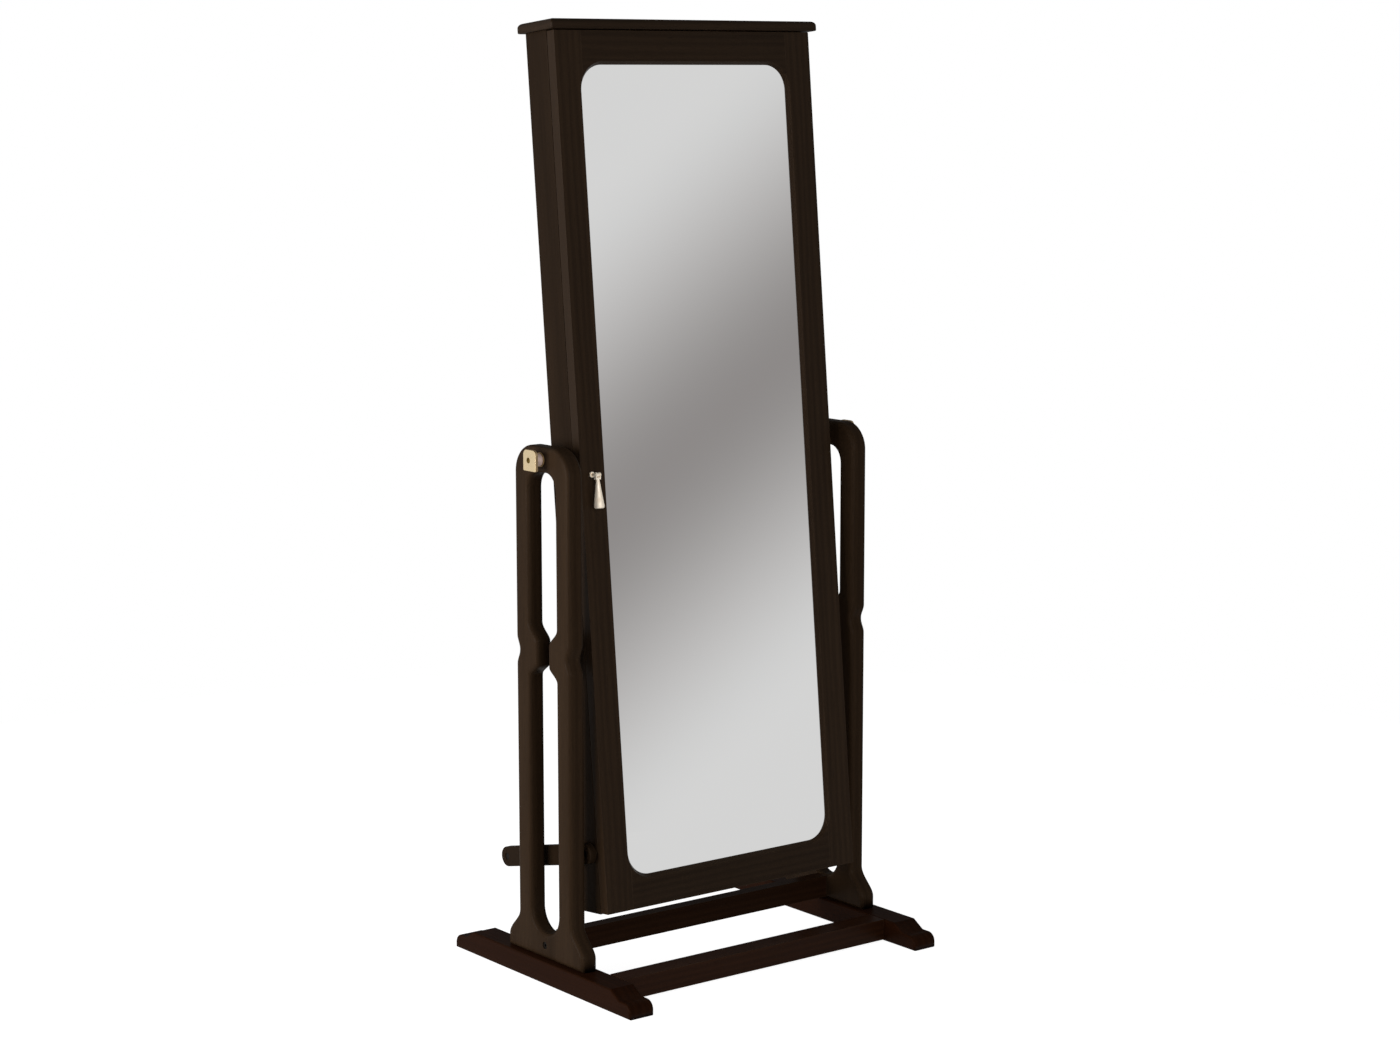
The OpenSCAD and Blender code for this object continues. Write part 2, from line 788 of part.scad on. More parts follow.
module strike_plate() {
    color(steel) leaning()
        box([-inner_half + 1, -door_back, catch_z - catch_h/2 + 4],
            [-inner_half + catch_t - 1, -door_back + leaf_t, catch_z + catch_h/2 - 4]);
}

// ---- pull ----

module pull_base() {
    color(brass) leaning() translate([pull_x, -door_front, pull_z]) difference() {
        union() {
            rod_y(0, -2, 4.6);
            rod_y(-2 + e, -pull_reach, post_r);
            translate([0, -pull_reach, 0]) rod_x(-eye_half, eye_half, eye_r);
        }
        translate([0, -pull_reach, 0]) rod_x(-eye_half - 1, eye_half + 1, pull_pin_r + run);
        rod_y(-8, e, pull_screw_r + slip);
    }
}

module pull_screw() {
    color(steel) leaning() translate([pull_x, 0, pull_z]) {
        rod_y(-door_front - 7.8, -door_back - 3.8, pull_screw_r);
        rod_y(-door_back - 3.8, -door_back - 1, 4);
    }
}

module pull_pin() {
    color(brass) leaning() translate([pull_x, -door_front - pull_reach, pull_z])
        rod_x(-eye_half - gap - cheek_t - 0.6, eye_half + gap + cheek_t + 0.6, pull_pin_r);
}

module pull_drop() {
    cheek_r = eye_r + 0.6;
    top_z = -eye_r - 1;
    color(brass) leaning() translate([pull_x, -door_front - pull_reach, pull_z]) difference() {
        union() {
            for (side = [-1, 1])
                rod_x(side*(eye_half + gap), side*(eye_half + gap + cheek_t), cheek_r);
            for (side = [-1, 1]) on_side(side)
                box([eye_half + gap, -cheek_r*0.7, top_z - 3],
                    [eye_half + gap + cheek_t, cheek_r*0.7, 0]);
            box([-eye_half - gap - cheek_t, -cheek_r*0.7, top_z - 3],
                [eye_half + gap + cheek_t, cheek_r*0.7, top_z]);
            translate([0, 0, -drop_len]) rotate_extrude()
                polygon([[0, 0], [drop_d/2 - 1.5, 0], [drop_d/2, 1.5], [drop_d/2, 4],
                         [2.6, drop_len + top_z - 2], [0, drop_len + top_z - 2]]);
        }
        rod_x(-12, 12, pull_pin_r + run);
    }
}

// ---- stay arm ----

module arm_place() {
    translate([0, -arm_y*cos(lean) - arm_down*sin(lean), pivot_z + arm_y*sin(lean) - arm_down*cos(lean)])
        children();
}

module stay_arm() {
    color(wood) arm_place() rotate([-arm_drop, 0, 0]) difference() {
        union() {
            for (y = [0, arm_len]) translate([0, y, 0]) rod_x(arm_x, arm_x - arm_t, arm_h/2);
            box([arm_x - arm_t, 0, -arm_h/2], [arm_x, arm_len, arm_h/2]);
        }
        for (y = [0, arm_len]) translate([0, y, 0]) {
            rod_x(arm_x + e, arm_x - arm_t - e, arm_screw_r + run);
            rod_x(arm_x - arm_t + 4, arm_x - arm_t - e, arm_head_r + gap);
        }
    }
}

module arm_screw() {
    color(steel) arm_place() rotate([-lean, 0, 0]) {
        rod_x(arm_x - arm_t + 3.7, -cab_half - e, arm_screw_r);
        rod_x(-cab_half - e, -cab_half + 9, 2.4);
        rod_x(arm_x - arm_t + 1, arm_x - arm_t + 3.7, arm_head_r);
    }
}

module arm_washer() {
    color(brass) arm_place() difference() {
        rod_x(arm_x + gap, -cab_half, 9);
        rod_x(arm_x - 1, -cab_half + 1, arm_screw_r + run);
    }
}

module arm_end_screw() {
    color(steel) arm_place() rotate([-arm_drop, 0, 0]) translate([0, arm_len, 0]) {
        rod_x(arm_x, arm_x - arm_t + 4, arm_screw_r);
        rod_x(arm_x - arm_t + 4, arm_x - arm_t + 1.2, arm_head_r);
    }
}

left_foot();
right_foot();
left_upright();
right_upright();
front_stretcher();
rear_stretcher();
stretcher_bolts();
barrel_nuts();
foot_screws();
stretcher_dowels();
foot_glides();
left_pivot_bush();
right_pivot_bush();
left_knob_washer();
right_knob_washer();
left_knob();
left_pivot_stud();
right_knob();
right_pivot_stud();
left_side();
right_side();
top_panel();
bottom_panel();
back_panel();
cornice();
left_pivot_nut();
right_pivot_nut();
left_spacer();
right_spacer();
back_lining();
side_linings();
upper_shelf();
middle_shelf();
lower_shelf();
shelf_fences();
ring_rolls();
hook_rail();
necklace_hooks();
earring_bars();
bracelet_rod();
magnet_catch();
hinge_case_leaves();
hinge_pins();
arm_screw();
arm_washer();
left_stile();
right_stile();
top_rail();
bottom_rail();
mirror_glass();
backing_board();
glazing_beads();
door_lining();
hinge_door_leaves();
strike_plate();
pull_base();
pull_screw();
pull_pin();
pull_drop();
stay_arm();
arm_end_screw();
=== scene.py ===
"""A cheval floor mirror: a leaning jewellery cabinet with a mirrored door between two arched uprights."""

import json
import math

import bmesh
import bpy
from mathutils import Matrix, Vector, noise


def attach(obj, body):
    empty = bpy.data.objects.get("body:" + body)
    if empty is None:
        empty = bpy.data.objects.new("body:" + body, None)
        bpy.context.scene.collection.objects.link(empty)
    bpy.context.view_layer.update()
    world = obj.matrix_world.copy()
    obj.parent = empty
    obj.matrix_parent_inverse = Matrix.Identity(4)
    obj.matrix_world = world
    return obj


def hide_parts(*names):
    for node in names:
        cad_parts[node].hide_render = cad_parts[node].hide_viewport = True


bl_info = {
    "name": "Cheval Mirror",
    "version": (1, 0, 0),
    "blender": (4, 5, 0),
    "location": "3D View > Sidebar > Cheval Mirror",
    "description": "Dresses a cheval floor mirror in espresso wood, silvered glass, brass and velvet",
    "category": "Object",
}

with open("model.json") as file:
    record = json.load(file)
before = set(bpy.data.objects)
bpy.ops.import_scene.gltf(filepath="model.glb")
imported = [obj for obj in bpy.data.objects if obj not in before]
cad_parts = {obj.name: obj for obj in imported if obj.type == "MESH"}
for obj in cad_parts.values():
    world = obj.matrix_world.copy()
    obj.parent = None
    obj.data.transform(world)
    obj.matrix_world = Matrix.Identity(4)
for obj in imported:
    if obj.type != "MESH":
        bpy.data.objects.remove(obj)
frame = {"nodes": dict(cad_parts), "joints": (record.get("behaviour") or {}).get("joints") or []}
NODES = frame["nodes"]
JOINTS = {joint["name"]: joint for joint in frame["joints"]}
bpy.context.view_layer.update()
MM = 0.001
SAME_POINT = 0.00001  # points that are closer than this are one

# The cabinet leans back about the tilt axis. Its own frame has y behind the axis and z along the cabinet.
LEAN = math.atan2(JOINTS["door_swing"]["axis"][1], JOINTS["door_swing"]["axis"][2])
PIVOT = Vector(JOINTS["cabinet_tilt"]["pos_m"])
CABINET = Matrix.Translation(PIVOT) @ Matrix.Rotation(-LEAN, 4, "X")
ROOM = Matrix.Identity(4)


def corners(points):
    """Lowest and highest corner of the box around some points."""
    return [Vector([pick(p[i] for p in points) for i in range(3)]) for pick in (min, max)]


def span(node, place=ROOM):
    """Lowest and highest corner of a CAD node, measured in the given frame."""
    back = place.inverted()
    return corners([back @ v.co for v in NODES[node].data.vertices])


# ---------------------------------------------------------------- sizes and colours

class WoodLook(bpy.types.PropertyGroup):
    dark: bpy.props.FloatVectorProperty(
        name="Dark grain", description="Colour of the late wood under the stain",
        subtype="COLOR", size=4, min=0, max=1, default=(0.0135, 0.0074, 0.0038, 1))
    light: bpy.props.FloatVectorProperty(
        name="Light grain", description="Colour of the early wood under the stain",
        subtype="COLOR", size=4, min=0, max=1, default=(0.0360, 0.0208, 0.0112, 1))
    # The worn edge colour is partly stain rubbed thin and partly a painted highlight along the edges.
    worn: bpy.props.FloatVectorProperty(
        name="Worn and highlighted edge", description="Colour where the stain is rubbed thin along the edges",
        subtype="COLOR", size=4, min=0, max=1, default=(0.070, 0.044, 0.027, 1))
    gloss: bpy.props.FloatProperty(
        name="Lacquer roughness", description="Roughness of the satin lacquer",
        min=0.05, max=1, default=0.34, subtype="FACTOR")
    upright_round: bpy.props.FloatProperty(
        name="Upright edge radius", description="Round-over along the edges of the uprights",
        default=7 * MM, min=0, unit="LENGTH")
    foot_round: bpy.props.FloatProperty(
        name="Foot edge radius", description="Round-over along the edges of the feet",
        default=3 * MM, min=0, unit="LENGTH")
    edge_round: bpy.props.FloatProperty(
        name="Cabinet edge radius", description="Eased edge of the cabinet's boards",
        default=1.1 * MM, min=0, unit="LENGTH")


class MetalLook(bpy.types.PropertyGroup):
    brass: bpy.props.FloatVectorProperty(
        name="Brass", description="Colour of the polished brass",
        subtype="COLOR", size=4, min=0, max=1, default=(0.84, 0.67, 0.41, 1))
    pale_brass: bpy.props.FloatVectorProperty(
        name="Pale brass", description="Colour of the door's pull",
        subtype="COLOR", size=4, min=0, max=1, default=(1.0, 0.90, 0.76, 1))
    steel: bpy.props.FloatVectorProperty(
        name="Steel", description="Colour of the zinc-plated steel",
        subtype="COLOR", size=4, min=0, max=1, default=(0.56, 0.56, 0.57, 1))
    polish: bpy.props.FloatProperty(
        name="Brass roughness", description="Roughness of the lacquered brass",
        min=0.02, max=1, default=0.24, subtype="FACTOR")
    knob_round: bpy.props.FloatProperty(
        name="Knob edge radius", description="Round-over around the knob's face",
        default=0.6 * MM, min=0, unit="LENGTH")


class ClothLook(bpy.types.PropertyGroup):
    velvet: bpy.props.FloatVectorProperty(
        name="Velvet", description="Colour of the cabinet's lining",
        subtype="COLOR", size=4, min=0, max=1, default=(0.060, 0.006, 0.010, 1))
    pile: bpy.props.FloatProperty(
        name="Pile height", description="How deep the pressed pile rises and falls",
        default=0.35 * MM, min=0, unit="LENGTH")
    roll_slack: bpy.props.FloatProperty(
        name="Ring roll slack", description="Girth of an empty ring roll beside a full one",
        default=0.90, min=0.6, max=0.98, subtype="FACTOR")
    stuffing: bpy.props.FloatProperty(
        name="Stuffing", description="Pressure of the stuffing in the ring rolls",
        default=4.0, min=0)


class StudioLook(bpy.types.PropertyGroup):
    floor_radius: bpy.props.FloatProperty(
        name="Floor radius", description="Radius of the pale studio floor",
        default=2.3, min=0.5, unit="LENGTH")
    key: bpy.props.FloatProperty(
        name="Key light", description="Power of the large softbox on the left",
        default=118, min=0, unit="POWER")
    fill: bpy.props.FloatProperty(
        name="Fill light", description="Power of the softbox in front",
        default=66, min=0, unit="POWER")
    back: bpy.props.FloatProperty(
        name="Back light", description="Soft light that comes from low behind",
        default=0.55, min=0)
    reflected: bpy.props.FloatProperty(
        name="Reflected room", description="How bright the room looks in the mirror",
        default=0.71, min=0)
    horizon: bpy.props.FloatVectorProperty(
        name="Horizon tint", description="Colour of the dim band across the mirror",
        subtype="COLOR", size=4, min=0, max=1, default=(1.0, 0.945, 0.93, 1))
    dim: bpy.props.FloatProperty(
        name="Reflected horizon", description="How bright the dim band across the mirror looks",
        default=0.29, min=0)
    haze: bpy.props.FloatProperty(
        name="Room light", description="Even light from the whole studio",
        default=0.10, min=0)


# ---------------------------------------------------------------- mesh helpers

def new_object(name, bm, material):
    """Turns a finished bmesh into an object of the scene."""
    mesh = bpy.data.meshes.new(name)
    bm.to_mesh(mesh)
    bm.free()
    mesh.materials.append(material)
    made = bpy.data.objects.new(name, mesh)
    bpy.context.scene.collection.objects.link(made)
    return made


def new_piece(name, bm, body, *replaced, slot, material, weigh=True):
    """Turns a finished bmesh into a piece that rides on a body and stands for its CAD nodes."""
    bmesh.ops.recalc_face_normals(bm, faces=bm.faces)
    for face in bm.faces:
        face.smooth = True
    piece = new_object(name, bm, material)
    if weigh:
        settle_normals(piece)
    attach(piece, body)
    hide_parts(*replaced)
    return piece


def settle_normals(piece):
    """Lets the large flat faces keep flat shading beside their rounded edges."""
    weights = piece.modifiers.new("flat faces", "WEIGHTED_NORMAL")
    weights.mode = "FACE_AREA_WITH_ANGLE"
    weights.weight = 60
    weights.keep_sharp = True


def ease_edges(node, radius, segments):
    """Rounds the sharp edges of a CAD node that stays as it is."""
    piece = NODES[node]
    for face in piece.data.polygons:
        face.use_smooth = True
    weld = piece.modifiers.new("weld", "WELD")
    weld.merge_threshold = SAME_POINT
    bevel = piece.modifiers.new("eased edges", "BEVEL")
    bevel.width, bevel.segments = radius, segments
    bevel.limit_method, bevel.angle_limit = "ANGLE", math.radians(32)
    bevel.miter_outer = "MITER_ARC"
    settle_normals(piece)


def cad_mesh(node, place=ROOM):
    """A CAD node as a bmesh in the given frame, with its doubled points joined."""
    bm = bmesh.new()
    bm.from_mesh(NODES[node].data)
    bm.transform(place.inverted())
    bmesh.ops.remove_doubles(bm, verts=bm.verts, dist=SAME_POINT)
    return bm


def signed_area(outline):
    """The area inside an outline, above zero where it runs counter-clockwise."""
    return sum(a[0] * b[1] - b[0] * a[1] for a, b in zip(outline, outline[1:] + outline[:1])) / 2


def face_outlines(node, side):
    """The outlines of a plate's flat face on its low (-1) or high (+1) X side, largest first, as (y, z) lists."""
    low, high = span(node)
    level = low.x if side < 0 else high.x
    bm = cad_mesh(node)
    flat = {f for f in bm.faces if all(abs(v.co.x - level) < 2 * SAME_POINT for v in f.verts)}
    follow = {}
    for face in flat:
        for loop in face.loops:
            if sum(f in flat for f in loop.edge.link_faces) == 1:
                follow[loop.vert] = loop.link_loop_next.vert
    outlines = []
    while follow:
        vert, chain = next(iter(follow)), []
        while vert in follow:
            chain.append((vert.co.y, vert.co.z))
            vert = follow.pop(vert)
        outlines.append(drop_straight(chain))
    bm.free()
    outlines.sort(key=lambda o: -abs(signed_area(o)))
    return [o if (signed_area(o) > 0) == (i == 0) else o[::-1] for i, o in enumerate(outlines)]


def drop_straight(chain):
    """Leaves out the points that lie on a straight run."""
    straight = 1e-4
    kept = []
    for i, point in enumerate(chain):
        p = Vector(point)
        u, v = p - Vector(chain[i - 1]), Vector(chain[(i + 1) % len(chain)]) - p
        if abs(u.x * v.y - u.y * v.x) > straight * u.length * v.length:
            kept.append(point)
    return kept


def inset(outline, distance):
    """The outline moved to its left by a distance, with mitres that are cut short at sharp corners."""
    sharpest = 0.4
    moved = []
    for i, point in enumerate(outline):
        p = Vector(point)
        u = (p - Vector(outline[i - 1])).normalized()
        v = (Vector(outline[(i + 1) % len(outline)]) - p).normalized()
        left = Vector((-u.y - v.y, u.x + v.x))
        moved.append(p + left * (distance / max(1 + u.dot(v), sharpest)))
    return moved


def rounded_plate(node, radius, hole_radius):
    """A plate with the outline of a CAD plate, its long edges rounded over and its small holes only eased."""
    steps, longest_hole = 5, 0.1  # longest_hole is in metres along its rim
    low, high = span(node)
    turn = [math.radians(90) * i / steps for i in range(steps, -1, -1)]
    bm = bmesh.new()
    caps = {-1: [], 1: []}
    for outline in face_outlines(node, -1 if low.x < 0 else 1):
        length = sum((Vector(a) - Vector(b)).length for a, b in zip(outline, outline[1:] + outline[:1]))
        r = radius if length > longest_hole else hole_radius
        profile = [(low.x + r * (1 - math.sin(a)), r * (1 - math.cos(a))) for a in turn]
        profile += [(low.x + high.x - x, d) for x, d in reversed(profile)]
        rings = [[bm.verts.new((x, p[0], p[1])) for p in inset(outline, d)] for x, d in profile]
        bridge(bm, rings)
        for side, ring in ((-1, rings[0]), (1, rings[-1])):
            caps[side] += [bm.edges.get((ring[i - 1], ring[i])) for i in range(len(ring))]
    for side, edges in caps.items():
        bmesh.ops.triangle_fill(bm, edges=edges, use_beauty=True, normal=(side, 0, 0))
    return bm


def rounded_rectangle(half_x, half_y, upper, lower, steps):
    """The points of a rectangle, counter-clockwise, with a radius for its upper and one for its lower corners."""
    points = []
    for cx, cy, start in ((1, 1, 0), (-1, 1, 90), (-1, -1, 180), (1, -1, 270)):
        radius = upper if cy > 0 else lower
        for i in range(steps + 1):
            a = math.radians(start + 90 * i / steps)
            points.append((cx * (half_x - radius) + radius * math.cos(a),
                           cy * (half_y - radius) + radius * math.sin(a)))
    return points


def bridge(bm, rings):
    """Quads between rings of equal length."""
    for a, b in zip(rings, rings[1:]):
        for i in range(len(a)):
            bm.faces.new((a[i - 1], a[i], b[i], b[i - 1]))


def loft(rings):
    """A solid through rings of equal length, with the first and the last one capped."""
    bm = bmesh.new()
    made = [[bm.verts.new(p) for p in ring] for ring in rings]
    bridge(bm, made)
    bm.faces.new(made[0][::-1])
    bm.faces.new(made[-1])
    return bm


# ---------------------------------------------------------------- shader helpers

def link(tree, socket, value):
    """Sets a socket to a value, or links it where the value is itself a socket."""
    if isinstance(value, bpy.types.NodeSocket):
        tree.links.new(value, socket)
    else:
        socket.default_value = value


def feed(tree, made, **inputs):
    """Feeds a node's inputs. An underscore stands for a space in a name, and _0 is the first input."""
    for key, value in inputs.items():
        link(tree, made.inputs[int(key[1:]) if key[0] == "_" else key.replace("_", " ")], value)
    return made


def put(tree, kind, settings=None, **inputs):
    """Adds a shader node with its settings and inputs."""
    made = tree.nodes.new("ShaderNode" + kind)
    for key, value in (settings or {}).items():
        setattr(made, key, value)
    return feed(tree, made, **inputs)


def maths(tree, operation, *values):
    """A Math node, returning its output."""
    made = put(tree, "Math", {"operation": operation})
    for socket, value in zip(made.inputs, values):
        link(tree, socket, value)
    return made.outputs[0]


def plus(tree, a, b):
    return maths(tree, "ADD", a, b)


def minus(tree, a, b):
    return maths(tree, "SUBTRACT", a, b)


def times(tree, a, b):
    return maths(tree, "MULTIPLY", a, b)


def blend_value(tree, factor, a, b):
    """A float Mix node, returning its output."""
    return put(tree, "Mix", {"data_type": "FLOAT"}, _0=factor, _2=a, _3=b).outputs[0]


def blend_colour(tree, factor, a, b):
    """A colour Mix node, returning its output."""
    return put(tree, "Mix", {"data_type": "RGBA"}, _0=factor, _6=a, _7=b).outputs[2]


def spread(tree, value, low, high, to_low=0.0, to_high=1.0):
    """Maps a value's range to another, clamped."""
    return put(tree, "MapRange", Value=value, From_Min=low, From_Max=high,
               To_Min=to_low, To_Max=to_high).outputs[0]


def own_place(tree):
    """Where a point lies in its own object."""
    return put(tree, "TexCoord").outputs["Object"]


def mapped(tree, place, **inputs):
    """A place that is scaled or turned."""
    return put(tree, "Mapping", Vector=place, **inputs).outputs[0]


def mottle(tree, place, **inputs):
    """The value of a noise texture."""
    return put(tree, "TexNoise", Vector=place, **inputs).outputs[0]


def bumped(tree, height, strength, distance):
    """The normal of a surface that rises and falls."""
    return put(tree, "Bump", Strength=strength, Distance=distance, Height=height).outputs[0]


def scaled(colour, factors, lift=0.0):
    """A colour with each channel multiplied and lifted, and kept within 1."""
    return tuple(min(1, c * f + lift) for c, f in zip(colour[:3], factors)) + (1,)


def new_group(name, inputs, outputs):
    """An empty node group with sockets as {name: kind}. Returns its tree, its input node and its output node."""
    tree = bpy.data.node_groups.new(name, "ShaderNodeTree")
    for way, sockets in (("INPUT", inputs), ("OUTPUT", outputs)):
        for key, kind in sockets.items():
            tree.interface.new_socket(name=key, in_out=way, socket_type="NodeSocket" + kind)
    return tree, tree.nodes.new("NodeGroupInput"), tree.nodes.new("NodeGroupOutput")


def use_group(tree, name, **inputs):
    """Places a node group in a material."""
    return put(tree, "Group", {"node_tree": bpy.data.node_groups[name]}, **inputs)


def new_material(name):
    """An empty material with a Principled BSDF. Returns the material, its tree and the shader."""
    material = bpy.data.materials.new(name)
    material.use_nodes = True
    tree = material.node_tree
    return material, tree, tree.nodes["Principled BSDF"]


def build_grain_group():
    """Open-grained wood along Z: a broad figure, fibres and fine dark pores."""
    tree, given, result = new_group(
        "wood grain",
        {"Vector": "Vector", "Dark": "Color", "Light": "Color", "Figure": "Float", "Shift": "Float"},
        {"Color": "Color", "Fibre": "Float", "Height": "Float"})
    shift = given.outputs["Shift"]
    moved = put(tree, "CombineXYZ", X=shift, Y=times(tree, shift, 1.7), Z=times(tree, shift, 0.31)).outputs[0]
    place = put(tree, "VectorMath", {"operation": "ADD"}, _0=given.outputs["Vector"], _1=moved).outputs[0]

    def stretched(across, along, detail, distortion=0.0):
        return mottle(tree, mapped(tree, place, Scale=(across, across, along)), Scale=1.0, Detail=detail,
                      Roughness=0.55, Distortion=distortion)

    figure = stretched(16, 1.1, 3, 0.6)
    fibre = stretched(520, 11, 3)
    pores = spread(tree, stretched(1150, 46, 1), 0.60, 0.68)
    bands = put(tree, "TexWave", {"wave_type": "BANDS", "bands_direction": "X"},
                Vector=mapped(tree, place, Scale=(26, 14, 1.6)),
                Scale=1.0, Distortion=5.0, Detail=2.0, Detail_Scale=1.2).outputs[1]
    mixed = plus(tree, times(tree, figure, 0.50), times(tree, bands, 0.16))
    mixed = plus(tree, mixed, times(tree, fibre, 0.34))
    # the stronger the figure, the narrower the range between its dark and its light
    half = minus(tree, 0.55, times(tree, given.outputs["Figure"], 0.5))
    tone = spread(tree, mixed, minus(tree, 0.5, half), plus(tree, 0.5, half))
    colour = blend_colour(tree, tone, given.outputs["Dark"], given.outputs["Light"])
    colour = blend_colour(tree, times(tree, pores, 0.55), colour, given.outputs["Dark"])
    height = minus(tree, times(tree, fibre, 0.35), times(tree, pores, 0.6))
    feed(tree, result, Color=colour, Fibre=fibre, Height=height)


def build_wear_group():
    """A mask of the edges, broken up by noise, where a finish is rubbed thin. The wood also uses it for a painted
    highlight along its edges.
    """
    tree, given, result = new_group("edge wear", {"Radius": "Float", "Amount": "Float", "Breakup": "Float"},
                                    {"Mask": "Float"})
    smoothed = put(tree, "Bevel", {"samples": 6}, Radius=given.outputs["Radius"]).outputs[0]
    facing = put(tree, "VectorMath", {"operation": "DOT_PRODUCT"}, _0=smoothed,
                 _1=put(tree, "NewGeometry").outputs["Normal"]).outputs["Value"]
    patches = mottle(tree, own_place(tree), Scale=given.outputs["Breakup"], Detail=3.0)
    mask = times(tree, spread(tree, facing, 0.995, 0.86), spread(tree, patches, 0.38, 0.66, 0.25, 1.0))
    feed(tree, result, Mask=times(tree, mask, given.outputs["Amount"]))


def build_dust_group():
    """Where fine dust settles: faces that look up, in soft patches."""
    tree, given, result = new_group("settled dust", {"Amount": "Float"}, {"Mask": "Float"})
    up = put(tree, "SeparateXYZ", Vector=put(tree, "NewGeometry").outputs["Normal"]).outputs["Z"]
    patches = mottle(tree, own_place(tree), Scale=22.0, Detail=5.0, Roughness=0.65)
    mask = times(tree, spread(tree, up, 0.55, 1.0), spread(tree, patches, 0.35, 0.75))
    feed(tree, result, Mask=times(tree, mask, given.outputs["Amount"]))


GRAIN_TURNS = {"Z": (0, 0, 0), "X": (0, math.radians(90), 0), "Y": (math.radians(90), 0, 0)}
DUST = (0.30, 0.27, 0.24, 1)
BEECH = ((0.36, 0.21, 0.10, 1), (0.60, 0.41, 0.24, 1))


def espresso(name, along, shift, leaning=False, tone=1.0, figure=0.5, wear=1.0, red=0.0, shine=0.05, bare=None):
    """Espresso-stained wood under satin lacquer, with its grain along an axis of the room or the cabinet.

    Wood without the stain gives its own dark and light grain as bare.
    """
    look = bpy.context.scene.mirror_wood
    material, tree, shader = new_material(name)
    where = own_place(tree)
    if leaning:
        where = mapped(tree, where, Rotation=(LEAN, 0, 0))
    where = mapped(tree, where, Rotation=GRAIN_TURNS[along])
    # tone lightens or darkens the stain; for several parts it is painted light or painted shade, standing for how
    # much light the part gets
    warm = (tone, tone * (1 - 0.30 * red), tone * (1 - 0.42 * red))
    dark, light = (scaled(colour, warm) for colour in bare or (look.dark, look.light))
    grain = use_group(tree, "wood grain", Vector=where, Dark=dark, Light=light, Figure=figure, Shift=shift)
    worn = use_group(tree, "edge wear", Radius=2.2 * MM, Amount=wear, Breakup=35.0)
    dust = use_group(tree, "settled dust", Amount=0.012).outputs[0]
    # Lightens the edges: partly stain rubbed thin, partly a painted highlight.
    colour = blend_colour(tree, times(tree, worn.outputs[0], 0.42), grain.outputs["Color"], tuple(look.worn))
    rough = spread(tree, grain.outputs["Fibre"], 0.25, 0.75, look.gloss + 0.05, look.gloss - 0.04)
    feed(tree, shader, Base_Color=blend_colour(tree, dust, colour, DUST),
         Roughness=plus(tree, rough, times(tree, dust, 1.2)),
         Normal=bumped(tree, grain.outputs["Height"], 0.22, 0.4 * MM), Specular_IOR_Level=shine)
    return material


def metal(name, colour, roughness, scratches=0.35, tarnish=0.25, metallic=1.0):
    """Polished metal with hairline scratches and faint tarnish in its patches."""
    material, tree, shader = new_material(name)
    where = own_place(tree)
    patches = mottle(tree, where, Scale=70.0, Detail=5.0, Roughness=0.6)
    lines = mapped(tree, where, Rotation=(0.3, 0.5, 0.2), Scale=(260, 3200, 900))
    lines = mottle(tree, lines, Scale=1.0, Detail=2.0)
    worn = use_group(tree, "edge wear", Radius=1.2 * MM, Amount=0.6, Breakup=90.0)
    dull, bright = scaled(colour, (0.62, 0.52, 0.42)), scaled(colour, (1.08, 1.08, 1.08), 0.03)
    tone = blend_colour(tree, times(tree, spread(tree, patches, 0.5, 0.8), tarnish), tuple(colour), dull)
    rough = spread(tree, patches, 0.3, 0.8, roughness * 0.8, roughness * 1.35)
    feed(tree, shader, Base_Color=blend_colour(tree, worn.outputs[0], tone, bright),
         Roughness=plus(tree, rough, times(tree, lines, 0.05)),
         Normal=bumped(tree, lines, scratches * 0.1, 0.05 * MM), Metallic=metallic)
    return material


def silvered_glass(name):
    """Silver behind clear glass, with the faintest wiping marks."""
    silver, glass_edge = (0.92, 0.92, 0.915, 1), (0.45, 0.52, 0.48, 1)
    material, tree, shader = new_material(name)
    where = mapped(tree, own_place(tree), Rotation=(0.2, 0.6, 0), Scale=(9, 9, 2.4))
    swirls = mottle(tree, where, Scale=1.0, Detail=4.0, Distortion=1.4)
    edge = use_group(tree, "edge wear", Radius=2 * MM, Amount=1.0, Breakup=60.0)
    feed(tree, shader, Base_Color=blend_colour(tree, times(tree, edge.outputs[0], 0.6), silver, glass_edge),
         Roughness=spread(tree, swirls, 0.45, 0.8, 0.0, 0.018), Metallic=1.0)
    return material


def moulded(name, colour, roughness):
    """Moulded plastic with a fine spark-eroded texture."""
    material, tree, shader = new_material(name)
    where = own_place(tree)
    fine = mottle(tree, where, Scale=1800.0, Detail=2.0)
    broad = mottle(tree, where, Scale=60.0, Detail=3.0)
    pale = scaled(colour, (1.35, 1.35, 1.35), 0.01)
    feed(tree, shader, Base_Color=blend_colour(tree, spread(tree, broad, 0.3, 0.8), colour, pale),
         Roughness=spread(tree, fine, 0.3, 0.7, roughness - 0.06, roughness + 0.08),
         Normal=bumped(tree, fine, 0.25, 0.15 * MM))
    return material


def velvet(name):
    """Short-pile velvet, brushed in soft patches."""
    look = bpy.context.scene.mirror_cloth
    material, tree, shader = new_material(name)
    where = own_place(tree)
    nap = mottle(tree, where, Scale=14.0, Detail=4.0, Distortion=0.8)
    pile = mottle(tree, where, Scale=2600.0, Detail=1.0)
    deep, lit = scaled(look.velvet, (0.6, 0.6, 0.6)), scaled(look.velvet, (1.45, 1.45, 1.45))
    tone = plus(tree, times(tree, nap, 0.65), times(tree, pile, 0.35))
    feed(tree, shader, Base_Color=blend_colour(tree, spread(tree, tone, 0.3, 0.72), deep, lit),
         Roughness=spread(tree, nap, 0.3, 0.7, 0.95, 0.75), Normal=bumped(tree, pile, 0.5, 0.4 * MM),
         Sheen_Weight=0.6, Sheen_Roughness=0.4, Sheen_Tint=(0.55, 0.16, 0.18, 1), Specular_IOR_Level=0.15)
    return material


